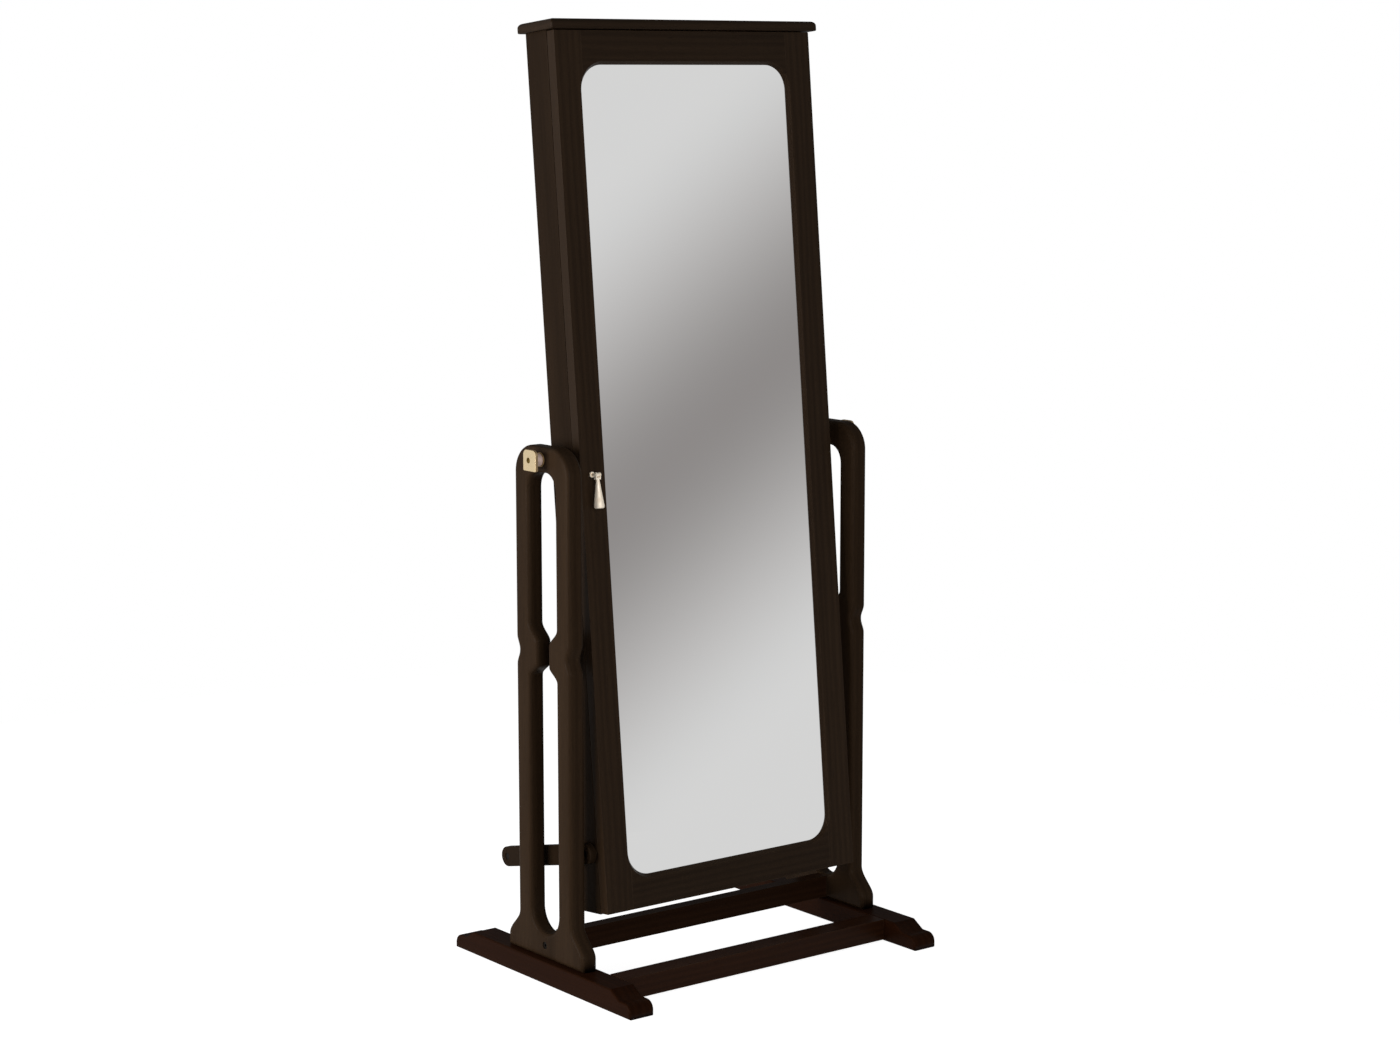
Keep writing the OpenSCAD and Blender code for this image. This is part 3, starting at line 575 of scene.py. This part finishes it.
def build_materials():
    """Makes every shared node group and material, and returns the materials by name."""
    build_grain_group()
    build_wear_group()
    build_dust_group()
    metals = bpy.context.scene.mirror_metal
    return {
        # The uprights are lightened as painted light for the light on their outer faces.
        "upright": espresso("espresso upright", "Z", 0.0, tone=1.17, shine=0.02),
        # The feet are darkened as painted shade near the floor; their redder tint is the wood's own.
        "foot": espresso("espresso foot, darkened as painted shade", "Y", 2.3, tone=0.78, red=1.5, shine=0.02),
        "cross": espresso("espresso stretcher", "X", 4.1, red=1.3),
        # The rear stretcher is darkened as painted shade.
        "rear cross": espresso("espresso rear stretcher, darkened as painted shade", "X", 5.2, tone=0.80, red=0.9, shine=0.02),
        # The stiles are lightened as painted light.
        "stile": espresso("espresso stile, lightened as painted light", "Z", 6.2, leaning=True, tone=1.18),
        "rail": espresso("espresso rail", "X", 8.7, leaning=True),
        # The case sides are darkened as painted shade.
        "case": espresso("espresso case side, darkened as painted shade", "Z", 11.3, leaning=True, tone=0.88, shine=0.02),
        "cornice": espresso("espresso cornice", "X", 13.9, leaning=True),
        "shelf": espresso("espresso shelf", "X", 16.1, leaning=True, wear=0.5),
        # The stay arm is darkened as painted shade between the upright and the cabinet.
        "arm": espresso("espresso arm, darkened as painted shade", "Y", 18.8, tone=0.72, shine=0.02),
        "board": espresso("stained hardboard", "X", 21.0, leaning=True, tone=1.25, figure=0.1, wear=0.3),
        "brass": metal("polished brass", metals.brass, metals.polish),
        "pale": metal("pale brass", metals.pale_brass, 0.64, scratches=0.0, tarnish=0.1, metallic=0.85),
        "satin": metal("satin brass", (0.86, 0.68, 0.60, 1), 0.55, scratches=0.15, tarnish=0.1, metallic=0.6),
        "dull": metal("dull brass", (0.36, 0.25, 0.12, 1), 0.5, tarnish=0.6),
        # Painted shade on the knobs: darker brass for the plate's rim and for the inside of its socket.
        "rim shade": metal("brass rim darkened as painted shade", (0.50, 0.37, 0.21, 1), 0.50, tarnish=0.4),
        "socket shade": metal("brass socket darkened as painted shade", (0.20, 0.125, 0.02, 1), 0.9, tarnish=0.5, metallic=0.2),
        "steel": metal("zinc-plated steel", metals.steel, 0.33, tarnish=0.12),
        "blackened": metal("black-oxide steel", (0.012, 0.009, 0.007, 1), 0.5, tarnish=0.5),
        "mirror": silvered_glass("silvered glass"),
        "black": moulded("black nylon", (0.012, 0.012, 0.013, 1), 0.5),
        "white": moulded("white plastic", (0.72, 0.70, 0.65, 1), 0.45),
        "velvet": velvet("burgundy velvet"),
        "beech": espresso("plain beech", "X", 24.0, wear=0.0, bare=BEECH),
    }


STUFF = {}


def paint(stuff, *nodes):
    """Gives CAD nodes that stay their finished material."""
    for node in nodes:
        mesh = NODES[node].data
        mesh.materials.clear()
        mesh.materials.append(STUFF[stuff])
        for face in mesh.polygons:
            face.material_index = 0


def dress(stuff, radius, *nodes, segments=2):
    """Paints CAD nodes that stay, and rounds their sharp edges."""
    paint(stuff, *nodes)
    for node in nodes:
        ease_edges(node, radius, segments)


# ---------------------------------------------------------------- the stand

def shaped_plates(kind, radius, hole_radius, stuff):
    """The left and the right plate of a kind, on the stand, rounded along every edge."""
    for side in ("left", "right"):
        node = side + "_" + kind
        bm = rounded_plate(node, radius, hole_radius)
        new_piece(node + "_shaped", bm, "stand", node, slot="espresso_wood", material=STUFF[stuff])


class MIRROR_OT_feet(bpy.types.Operator):
    """The two long feet with their low rounded toes, and the glides under them"""
    bl_idname = "mirror.feet"
    bl_label = "Feet"

    def execute(self, context):
        shaped_plates("foot", context.scene.mirror_wood.foot_round, 0.4 * MM, "foot")
        dress("black", 0.5 * MM, "foot_glides")
        return {"FINISHED"}


class MIRROR_OT_uprights(bpy.types.Operator):
    """The arched uprights with their waisted slots, rounded along every edge"""
    bl_idname = "mirror.uprights"
    bl_label = "Uprights"

    def execute(self, context):
        shaped_plates("upright", context.scene.mirror_wood.upright_round, 0.3 * MM, "upright")
        return {"FINISHED"}


class MIRROR_OT_stretchers(bpy.types.Operator):
    """The front and rear stretchers with their bolts, barrel nuts, screws and dowels"""
    bl_idname = "mirror.stretchers"
    bl_label = "Stretchers"

    def execute(self, context):
        dress("cross", 2.0 * MM, "front_stretcher", segments=3)
        dress("rear cross", 2.0 * MM, "rear_stretcher", segments=3)
        dress("blackened", 0.3 * MM, "stretcher_bolts", "barrel_nuts", "foot_screws")
        paint("beech", "stretcher_dowels")
        return {"FINISHED"}


# ---------------------------------------------------------------- tilt locks

class MIRROR_OT_tilt_locks(bpy.types.Operator):
    """The brass knobs with their studs, washers, bushes, nuts and spacers"""
    bl_idname = "mirror.tilt_locks"
    bl_label = "Tilt locks"

    def execute(self, context):
        for side, sign in (("left", -1), ("right", 1)):
            self.knob(context, side, sign)
            paint("steel", side + "_pivot_stud")
            dress("dull", 0.35 * MM, side + "_knob_washer")
            dress("steel", 0.2 * MM, side + "_pivot_bush", side + "_pivot_nut")
            dress("black", 0.6 * MM, side + "_spacer")
        return {"FINISHED"}

    def knob(self, context, side, sign):
        """A flat plate on a round neck, with a blind socket a little behind the middle of its face."""
        low, high = span(side + "_knob")
        inner, outer = (high.x, low.x) if sign < 0 else (low.x, high.x)
        half_y, half_z = (high.y - low.y) / 2, (high.z - low.z) / 2
        r = context.scene.mirror_metal.knob_round
        thick = abs(outer - inner)
        plate, neck, neck_ease = 5 * MM, 10 * MM, 0.6 * MM
        bore, bore_ease, bore_end = 4.06 * MM, 0.3 * MM, thick - 8 * MM
        socket, socket_ease, socket_back, socket_deep = 4.5 * MM, 0.2 * MM, 3 * MM, 3.5 * MM
        upper_corner, lower_corner, least_corner = 8.5 * MM, 2.4 * MM, 0.6 * MM
        edge_steps, corner_steps = 5, 8
        facets = 4 * (corner_steps + 1)  # a circle has as many points as the outline

        def outline(shrink, depth):
            upper, lower = (max(corner - shrink, least_corner) for corner in (upper_corner, lower_corner))
            return [(inner + sign * depth, PIVOT.y + y, PIVOT.z + z) for y, z in
                    rounded_rectangle(half_y - shrink, half_z - shrink, upper, lower, corner_steps)]

        def circle(radius, depth, back=0.0):
            turned = [math.radians(360 / facets * (i + 0.5)) for i in range(facets)]
            return [(inner + sign * depth, PIVOT.y + back + radius * math.cos(a), PIVOT.z + radius * math.sin(a))
                    for a in turned]

        quarter = [math.radians(90 * i / edge_steps) for i in range(edge_steps + 1)]
        # the neck flares a little where it meets the plate
        rings = [circle(bore, bore_end), circle(bore, bore_ease), circle(bore + bore_ease, 0),
                 circle(neck - neck_ease, 0), circle(neck, neck_ease), circle(neck, thick - plate - 0.7 * MM),
                 circle(neck + 0.25 * MM, thick - plate - 0.2 * MM), circle(neck + 0.8 * MM, thick - plate)]
        rings += [outline(r * (1 - math.cos(a)), thick - plate + r * (1 - math.sin(a))) for a in reversed(quarter)]
        rings += [outline(r * (1 - math.cos(a)), thick - r * (1 - math.sin(a))) for a in quarter]
        rings += [circle(socket + socket_ease, thick, socket_back),
                  circle(socket, thick - socket_ease, socket_back), circle(socket, thick - socket_deep, socket_back)]
        piece = new_piece(side + "_knob_turned", loft(rings), side + "_lock", side + "_knob",
                          slot="brass_hardware", material=STUFF["brass"])
        # The socket's inside and the plate's rim take the darker brass as painted shade.
        for stuff in ("socket shade", "satin", "rim shade"):
            piece.data.materials.append(STUFF[stuff])
        in_socket, on_neck, on_edge = 1, 2, 3
        for face in piece.data.polygons:
            y, z, depth = face.center.y - PIVOT.y, face.center.z - PIVOT.z, abs(face.center.x - inner)
            if depth > thick - socket_deep - 0.1 * MM and math.hypot(y - socket_back, z) < socket + 0.15 * MM:
                face.material_index = in_socket
            elif depth < thick - plate - 0.01 * MM:
                face.material_index = on_neck
            elif depth < thick - 0.05 * r:
                face.material_index = on_edge


# ---------------------------------------------------------------- cabinet

class MIRROR_OT_case(bpy.types.Operator):
    """The cabinet's boards, back and moulded cornice"""
    bl_idname = "mirror.case"
    bl_label = "Case"

    def execute(self, context):
        dress("case", context.scene.mirror_wood.edge_round, "left_side", "right_side")
        dress("shelf", 0.5 * MM, "top_panel", "bottom_panel")
        dress("board", 0.4 * MM, "back_panel")
        self.cornice()
        return {"FINISHED"}

    def cornice(self):
        low, high = span("cornice", CABINET)
        centre, half = (low + high) / 2, (high - low) / 2
        corner, least_corner, corner_steps = 2.6 * MM, 1.2 * MM, 5
        # millimetres that the profile stands back from the widest line, from the underside up to the top
        profile = [(9.0, 0), (2.2, 0), (1.2, 0.25), (0.5, 0.7), (0.1, 1.4), (0, 2.2), (0, 8.6), (0.15, 10.0),
                   (0.6, 11.4), (1.4, 12.8), (2.5, 14.0), (3.8, 14.9), (5.2, 15.5), (6.6, 15.85), (8.0, 16.0),
                   (14.0, 16.0)]
        top = profile[-1][1]
        rings = []
        for back, up in profile:
            shrink = back * MM
            radius = max(corner - shrink * 0.2, least_corner)
            points = rounded_rectangle(half.x - shrink, half.y - shrink, radius, radius, corner_steps)
            z = low.z + (high.z - low.z) * up / top
            rings.append([CABINET @ Vector((centre.x + x, centre.y + y, z)) for x, y in points])
        new_piece("cornice_moulded", loft(rings), "cabinet", "cornice", slot="espresso_wood",
                  material=STUFF["cornice"])


class MIRROR_OT_fittings(bpy.types.Operator):
    """Shelves, fences, rails, hooks, bars and the catch inside the cabinet, and the door's hinges"""
    bl_idname = "mirror.fittings"
    bl_label = "Fittings"

    def execute(self, context):
        dress("shelf", 0.5 * MM, "upper_shelf", "middle_shelf", "lower_shelf", "shelf_fences", "hook_rail",
              "earring_bars")
        dress("white", 0.6 * MM, "magnet_catch")
        paint("shelf", "bracelet_rod")
        paint("brass", "necklace_hooks", "hinge_case_leaves", "hinge_door_leaves", "hinge_pins")
        return {"FINISHED"}


# ---------------------------------------------------------------- velvet

GRID, FINE_GRID = 14 * MM, 8 * MM  # how finely a lining is cut, and how finely along its narrow way


class MIRROR_OT_linings(bpy.types.Operator):
    """Velvet stretched over the back, the sides and the inside of the door"""
    bl_idname = "mirror.linings"
    bl_label = "Linings"

    def execute(self, context):
        across = Vector((0, 1, 0))
        self.lining("back_lining", "cabinet", -across, ("back_panel",))
        self.lining("door_lining", "door", across, ("backing_board",))
        self.side_linings()
        return {"FINISHED"}

    def cut(self, node, steps):
        """The CAD lining in the cabinet's frame, cut into a grid by (axis, step) pairs."""
        bm = cad_mesh(node, CABINET)
        bmesh.ops.dissolve_limit(bm, angle_limit=math.radians(1), verts=bm.verts, edges=bm.edges)
        low, high = span(node, CABINET)
        for axis, step in steps:
            normal = Vector([float(i == axis) for i in range(3)])
            count = max(1, round((high[axis] - low[axis]) / step))
            for i in range(1, count):
                place = normal * (low[axis] + (high[axis] - low[axis]) * i / count)
                bmesh.ops.bisect_plane(bm, geom=bm.verts[:] + bm.edges[:] + bm.faces[:], plane_co=place,
                                       plane_no=normal)
        bm.normal_update()
        return bm, low, high

    def relax(self, bm, shown, thick, level):
        """Lets the shown face sink a little in soft ripples, and most where it is drawn over its edges."""
        pile = bpy.context.scene.mirror_cloth.pile
        near, drawn_in = thick * 0.1, thick * 0.45
        axis = max(range(3), key=lambda i: abs(shown[i]))
        face = [v for v in bm.verts if abs(v.co[axis] - level) < near]
        rim = {v for v in face if any(abs(f.normal[axis]) < 0.5 for f in v.link_faces)}
        for v in face:
            soft = noise.noise(v.co * 26) * 0.5 + noise.noise(v.co * 61) * 0.3 + 0.5
            sink = drawn_in if v in rim else pile * min(1, max(0, soft))
            v.co[axis] -= math.copysign(sink, shown[axis])

    def lining(self, node, body, shown, rests_on):
        bm, low, high = self.cut(node, ((0, GRID), (2, GRID)))
        self.relax(bm, shown, high.y - low.y, high.y if shown.y > 0 else low.y)
        bm.transform(CABINET)
        piece = new_piece(node + "_velvet", bm, body, node, slot="felt_lining", material=STUFF["velvet"],
                          weigh=False)

    def side_linings(self):
        bm, low, high = self.cut("side_linings", ((1, FINE_GRID), (2, GRID)))
        face = min(abs(v.co.x) for v in bm.verts)
        outer = max(abs(v.co.x) for v in bm.verts)
        for side in (-1, 1):
            self.relax(bm, Vector((-side, 0, 0)), outer - face, side * face)
        area = sum(f.calc_area() for f in bm.faces if abs(f.normal.x) > 0.7) / 2
        bm.transform(CABINET)
        piece = new_piece("side_linings_velvet", bm, "cabinet", "side_linings", slot="felt_lining",
                          material=STUFF["velvet"], weigh=False)


ROLL_AROUND, ROLL_ALONG = 20, 96  # points around a ring roll, and steps along it
STUFFING_FRAMES = 16


class MIRROR_OT_ring_rolls(bpy.types.Operator):
    """The row of stuffed velvet rolls that hold rings, sewn closed along the back"""
    bl_idname = "mirror.ring_rolls"
    bl_label = "Ring rolls"

    def execute(self, context):
        look = context.scene.mirror_cloth
        rolls = self.rolls_in_cad()
        bm = bmesh.new()
        for low, high in rolls:
            self.slack_roll(bm, low, high, look.roll_slack)
        piece = new_object("ring_rolls_stuffed", bm, STUFF["velvet"])
        self.fill(context, piece, look.stuffing)
        self.sew(piece, rolls)
        soft = piece.modifiers.new("soft folds", "SUBSURF")
        soft.levels = soft.render_levels = 1
        piece.data.transform(CABINET)
        piece.data.shade_smooth()
        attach(piece, "cabinet")
        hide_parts("ring_rolls")
        return {"FINISHED"}

    def rolls_in_cad(self):
        """The lowest and highest corner of each roll in the cabinet's frame, from the top one down."""
        bm = cad_mesh("ring_rolls", CABINET)
        waiting, found = set(bm.verts), []
        while waiting:
            group, reached = [waiting.pop()], []
            while group:
                vert = group.pop()
                reached.append(vert.co.copy())
                for edge in vert.link_edges:
                    other = edge.other_vert(vert)
                    if other in waiting:
                        waiting.remove(other)
                        group.append(other)
            found.append(corners(reached))
        bm.free()
        return sorted(found, key=lambda pair: -pair[0].z)

    def slack_roll(self, bm, low, high, slack):
        """A slack tube of velvet with gathered ends, before it is stuffed."""
        centre = (low + high) / 2
        half, radius = (high.x - low.x) / 2, (high.z - low.z) / 2
        dome_length, tip = 0.55 * radius, 0.20
        rings = []
        for i in range(ROLL_ALONG + 1):
            x = -half + 2 * half * i / ROLL_ALONG
            reach = min(1.0, (half - abs(x)) / dome_length)
            dome = math.sqrt(max(0.0, 1 - (1 - reach) ** 2)) * (1 - tip) + tip
            ring = []
            for k in range(ROLL_AROUND):
                a = 2 * math.pi * k / ROLL_AROUND
                soft = noise.noise(Vector((x * 42, math.cos(a) * 1.1, math.sin(a) * 1.1 + centre.z * 30)))
                gather = math.cos(a * 9) * 0.05 * (1 - reach)
                r = radius * dome * (slack + 0.05 * soft + gather)
                ring.append(bm.verts.new((centre.x + x, centre.y + r * math.cos(a), centre.z + r * math.sin(a))))
            rings.append(ring)
        for a, b in zip(rings, rings[1:]):
            for k in range(ROLL_AROUND):
                bm.faces.new((a[k - 1], b[k - 1], b[k], a[k]))
        bm.faces.new(rings[0])
        bm.faces.new(rings[-1][::-1])

    def fill(self, context, piece, stuffing):
        """Stuffs the tubes by a cloth simulation and applies it, held along the seam at the back."""
        most = 1.2 * MM
        before = [v.co.copy() for v in piece.data.vertices]
        held = piece.vertex_groups.new(name="seam")
        last_ring = ROLL_ALONG * ROLL_AROUND
        roll = last_ring + ROLL_AROUND
        held.add([i for i in range(len(before)) if i % roll % ROLL_AROUND == 0 or i % roll < ROLL_AROUND
                  or i % roll >= last_ring], 1.0, "REPLACE")
        cloth = piece.modifiers.new("stuffing", "CLOTH")
        rules = cloth.settings
        rules.quality = 6
        rules.mass = 0.2
        rules.tension_stiffness = 12
        rules.bending_stiffness = 0.4
        rules.use_pressure = True
        rules.uniform_pressure_force = stuffing
        rules.effector_weights.gravity = 0
        rules.vertex_group_mass = held.name
        cloth.point_cache.frame_start, cloth.point_cache.frame_end = 1, STUFFING_FRAMES
        for frame_number in range(1, STUFFING_FRAMES + 1):
            context.scene.frame_set(frame_number)
        stuffed = piece.evaluated_get(context.evaluated_depsgraph_get()).data
        after = [v.co.copy() for v in stuffed.vertices]
        piece.modifiers.remove(cloth)
        piece.vertex_groups.clear()
        context.scene.frame_set(1)
        for vert, was, now in zip(piece.data.vertices, before, after):
            move = now - was
            vert.co = was + (move if move.length < most else move * (most / move.length))

    def sew(self, piece, rolls):
        """Keeps every roll inside its place and draws the seam in along its back."""
        room, seam_width, seam_depth = 0.985, 0.9 * MM, 0.8 * MM
        for vert in piece.data.vertices:
            low, high = min(rolls, key=lambda pair: abs((pair[0].z + pair[1].z) / 2 - vert.co.z))
            centre, radius = (low + high) / 2, (high.z - low.z) / 2
            out = Vector((0, vert.co.y - centre.y, vert.co.z - centre.z))
            if out.length > radius * room:
                out *= radius * room / out.length
            behind = max(0.0, out.y / radius)
            out.y -= seam_depth * math.exp(-(out.z / seam_width) ** 2) * behind
            vert.co.y, vert.co.z = centre.y + out.y, centre.z + out.z


# ---------------------------------------------------------------- door

class MIRROR_OT_door(bpy.types.Operator):
    """The door's stiles and rails around the silvered glass, with its backing, beads and strike plate"""
    bl_idname = "mirror.door"
    bl_label = "Door"

    def execute(self, context):
        soft = context.scene.mirror_wood.edge_round * 0.8
        dress("stile", soft, "left_stile", "right_stile")
        dress("rail", soft, "top_rail", "bottom_rail")
        dress("rail", 0.6 * MM, "glazing_beads")
        paint("mirror", "mirror_glass")
        paint("board", "backing_board")
        paint("steel", "strike_plate")
        return {"FINISHED"}


class MIRROR_OT_pull(bpy.types.Operator):
    """The brass drop pull on its post, with its pin and screw"""
    bl_idname = "mirror.pull"
    bl_label = "Pull"

    def execute(self, context):
        dress("pale", 0.4 * MM, "pull_base")
        paint("pale", "pull_drop", "pull_pin")
        paint("steel", "pull_screw")
        return {"FINISHED"}


class MIRROR_OT_stay_arm(bpy.types.Operator):
    """The wooden stay arm with its screws and washer"""
    bl_idname = "mirror.stay_arm"
    bl_label = "Stay arm"

    def execute(self, context):
        dress("arm", 1.3 * MM, "stay_arm", segments=3)
        dress("blackened", 0.4 * MM, "arm_screw", "arm_end_screw")
        paint("brass", "arm_washer")
        return {"FINISHED"}


# ---------------------------------------------------------------- stage

WHITE = (1, 1, 1, 1)
FLOOR_GREY, FLOOR_GLOW = (0.62, 0.62, 0.62, 1), 0.90
SOFTBOX_SIZE, SOFTBOX_AIM = 2.2, Vector((0, 0, 0.75))
KEY_PLACE, FILL_PLACE = (-3.7, 0.6, 1.1), (-1.4, -3.9, 1.4)
CAMERA_PLACE = (-2.8740, -3.7398, 1.4445)
CAMERA_PITCH, CAMERA_HEADING = math.radians(81.21), math.radians(-37.84)
LENS_MM, SENSOR_MM, LENS_SHIFT = 75.13, 36, -0.00736
# The dim band that gloss sees slopes across the room. Its widths are from its middle to where it ends.
BAND_SLOPE, BAND_CROSSING, BAND_LEVEL = 0.9, 0.6, 0.022
BAND_WIDTH, TINT_WIDTH = 0.112, 0.09


class MIRROR_OT_stage(bpy.types.Operator):
    """The pale studio floor, the soft lights and the camera"""
    bl_idname = "mirror.stage"
    bl_label = "Stage"

    def execute(self, context):
        look = context.scene.mirror_studio
        context.scene.view_settings.view_transform = "Standard"
        self.floor(look)
        self.world(context, look)
        self.softbox(context, "key softbox", KEY_PLACE, look.key)
        self.softbox(context, "fill softbox", FILL_PLACE, look.fill)
        self.camera(context)
        return {"FINISHED"}

    def floor(self, look):
        """A pale disc that takes the shadow, shows white and reflects as the room does."""
        material, tree, shader = new_material("pale studio floor")
        tree.nodes.remove(shader)
        light = put(tree, "LightPath").outputs
        diffuse = put(tree, "BsdfDiffuse", Color=FLOOR_GREY)
        glow = put(tree, "Emission", Color=WHITE, Strength=times(tree, light["Is Camera Ray"], FLOOR_GLOW))
        both = put(tree, "AddShader", _0=diffuse.outputs[0], _1=glow.outputs[0])
        sheen = put(tree, "Emission", Color=WHITE, Strength=look.reflected)
        shown = put(tree, "MixShader", _0=light["Is Glossy Ray"], _1=both.outputs[0], _2=sheen.outputs[0])
        feed(tree, tree.nodes["Material Output"], Surface=shown.outputs[0])
        bm = bmesh.new()
        bmesh.ops.create_circle(bm, cap_ends=True, segments=96, radius=look.floor_radius)
        floor = new_object("studio_floor", bm, material)

    def world(self, context, look):
        """White to the camera, a soft grey horizon to gloss, and even light to everything else."""
        world = bpy.data.worlds.new("studio")
        world.use_nodes = True
        context.scene.world = world
        tree = world.node_tree
        across, away, up = put(tree, "SeparateXYZ", Vector=put(tree, "TexCoord").outputs["Generated"]).outputs
        height = maths(tree, "ABSOLUTE", up)
        slope = minus(tree, up, times(tree, BAND_SLOPE, minus(tree, across, BAND_CROSSING)))
        distance = maths(tree, "ABSOLUTE", minus(tree, slope, BAND_LEVEL))
        room = put(tree, "MapRange", {"interpolation_type": "SMOOTHSTEP"}, Value=distance,
                   From_Min=0.0, From_Max=BAND_WIDTH, To_Min=look.dim, To_Max=look.reflected).outputs[0]
        room = times(tree, room, spread(tree, height, 0.30, 0.75, 1.0, 0.35))
        shaded = times(tree, spread(tree, away, 0.0, 0.5), spread(tree, across, -0.35, 0.2))
        room = times(tree, room, minus(tree, 1.0, times(tree, shaded, 0.8)))
        behind = times(tree, spread(tree, away, 0.1, 0.7), spread(tree, height, 0.15, 0.6, 1.0, 0.0))
        even = plus(tree, times(tree, behind, look.back), look.haze)
        light = put(tree, "LightPath").outputs
        seen = maths(tree, "MAXIMUM", light["Is Camera Ray"], light["Is Transmission Ray"])
        strength = blend_value(tree, seen, blend_value(tree, light["Is Glossy Ray"], even, room), 1.0)
        band = times(tree, light["Is Glossy Ray"], spread(tree, distance, 0.0, TINT_WIDTH, 1.0, 0.0))
        tint = blend_colour(tree, band, WHITE, tuple(look.horizon))
        feed(tree, tree.nodes["Background"], Strength=strength, Color=tint)

    def softbox(self, context, name, place, power):
        light = bpy.data.lights.new(name, "AREA")
        light.shape, light.size, light.energy = "SQUARE", SOFTBOX_SIZE, power
        box = bpy.data.objects.new(name, light)
        context.scene.collection.objects.link(box)
        box.location = place
        box.rotation_euler = (SOFTBOX_AIM - Vector(place)).to_track_quat("-Z", "Y").to_euler()

    def camera(self, context):
        lens = bpy.data.cameras.new("camera")
        lens.lens, lens.sensor_width, lens.shift_x = LENS_MM, SENSOR_MM, LENS_SHIFT
        camera = bpy.data.objects.new("camera", lens)
        context.scene.collection.objects.link(camera)
        camera.location = CAMERA_PLACE
        camera.rotation_euler = (CAMERA_PITCH, 0, CAMERA_HEADING)
        context.scene.camera = camera


# ---------------------------------------------------------------- panel

PIECES = (MIRROR_OT_feet, MIRROR_OT_uprights, MIRROR_OT_stretchers, MIRROR_OT_tilt_locks, MIRROR_OT_case,
          MIRROR_OT_fittings, MIRROR_OT_linings, MIRROR_OT_ring_rolls, MIRROR_OT_door, MIRROR_OT_pull,
          MIRROR_OT_stay_arm, MIRROR_OT_stage)
LOOKS = {"mirror_wood": WoodLook, "mirror_metal": MetalLook, "mirror_cloth": ClothLook, "mirror_studio": StudioLook}


class MIRROR_PT_pieces(bpy.types.Panel):
    """Lists the mirror's pieces and looks"""
    bl_idname = "MIRROR_PT_pieces"
    bl_label = "Cheval Mirror"
    bl_space_type = "VIEW_3D"
    bl_region_type = "UI"
    bl_category = "Cheval Mirror"

    def draw(self, context):
        for piece in PIECES:
            self.layout.operator(piece.bl_idname)
        for name, look in LOOKS.items():
            box = self.layout.box()
            for key in look.__annotations__:
                box.prop(getattr(context.scene, name), key)


def register():
    for look in LOOKS.values():
        bpy.utils.register_class(look)
    for piece in PIECES:
        bpy.utils.register_class(piece)
    bpy.utils.register_class(MIRROR_PT_pieces)
    for name, look in LOOKS.items():
        setattr(bpy.types.Scene, name, bpy.props.PointerProperty(type=look))


def unregister():
    for name in LOOKS:
        delattr(bpy.types.Scene, name)
    bpy.utils.unregister_class(MIRROR_PT_pieces)
    for piece in reversed(PIECES):
        bpy.utils.unregister_class(piece)
    for look in reversed(LOOKS.values()):
        bpy.utils.unregister_class(look)


def main():
    register()
    STUFF.update(build_materials())
    for piece in PIECES:
        getattr(bpy.ops.mirror, piece.bl_idname.partition(".")[2])()


if __name__ == "__main__":
    main()
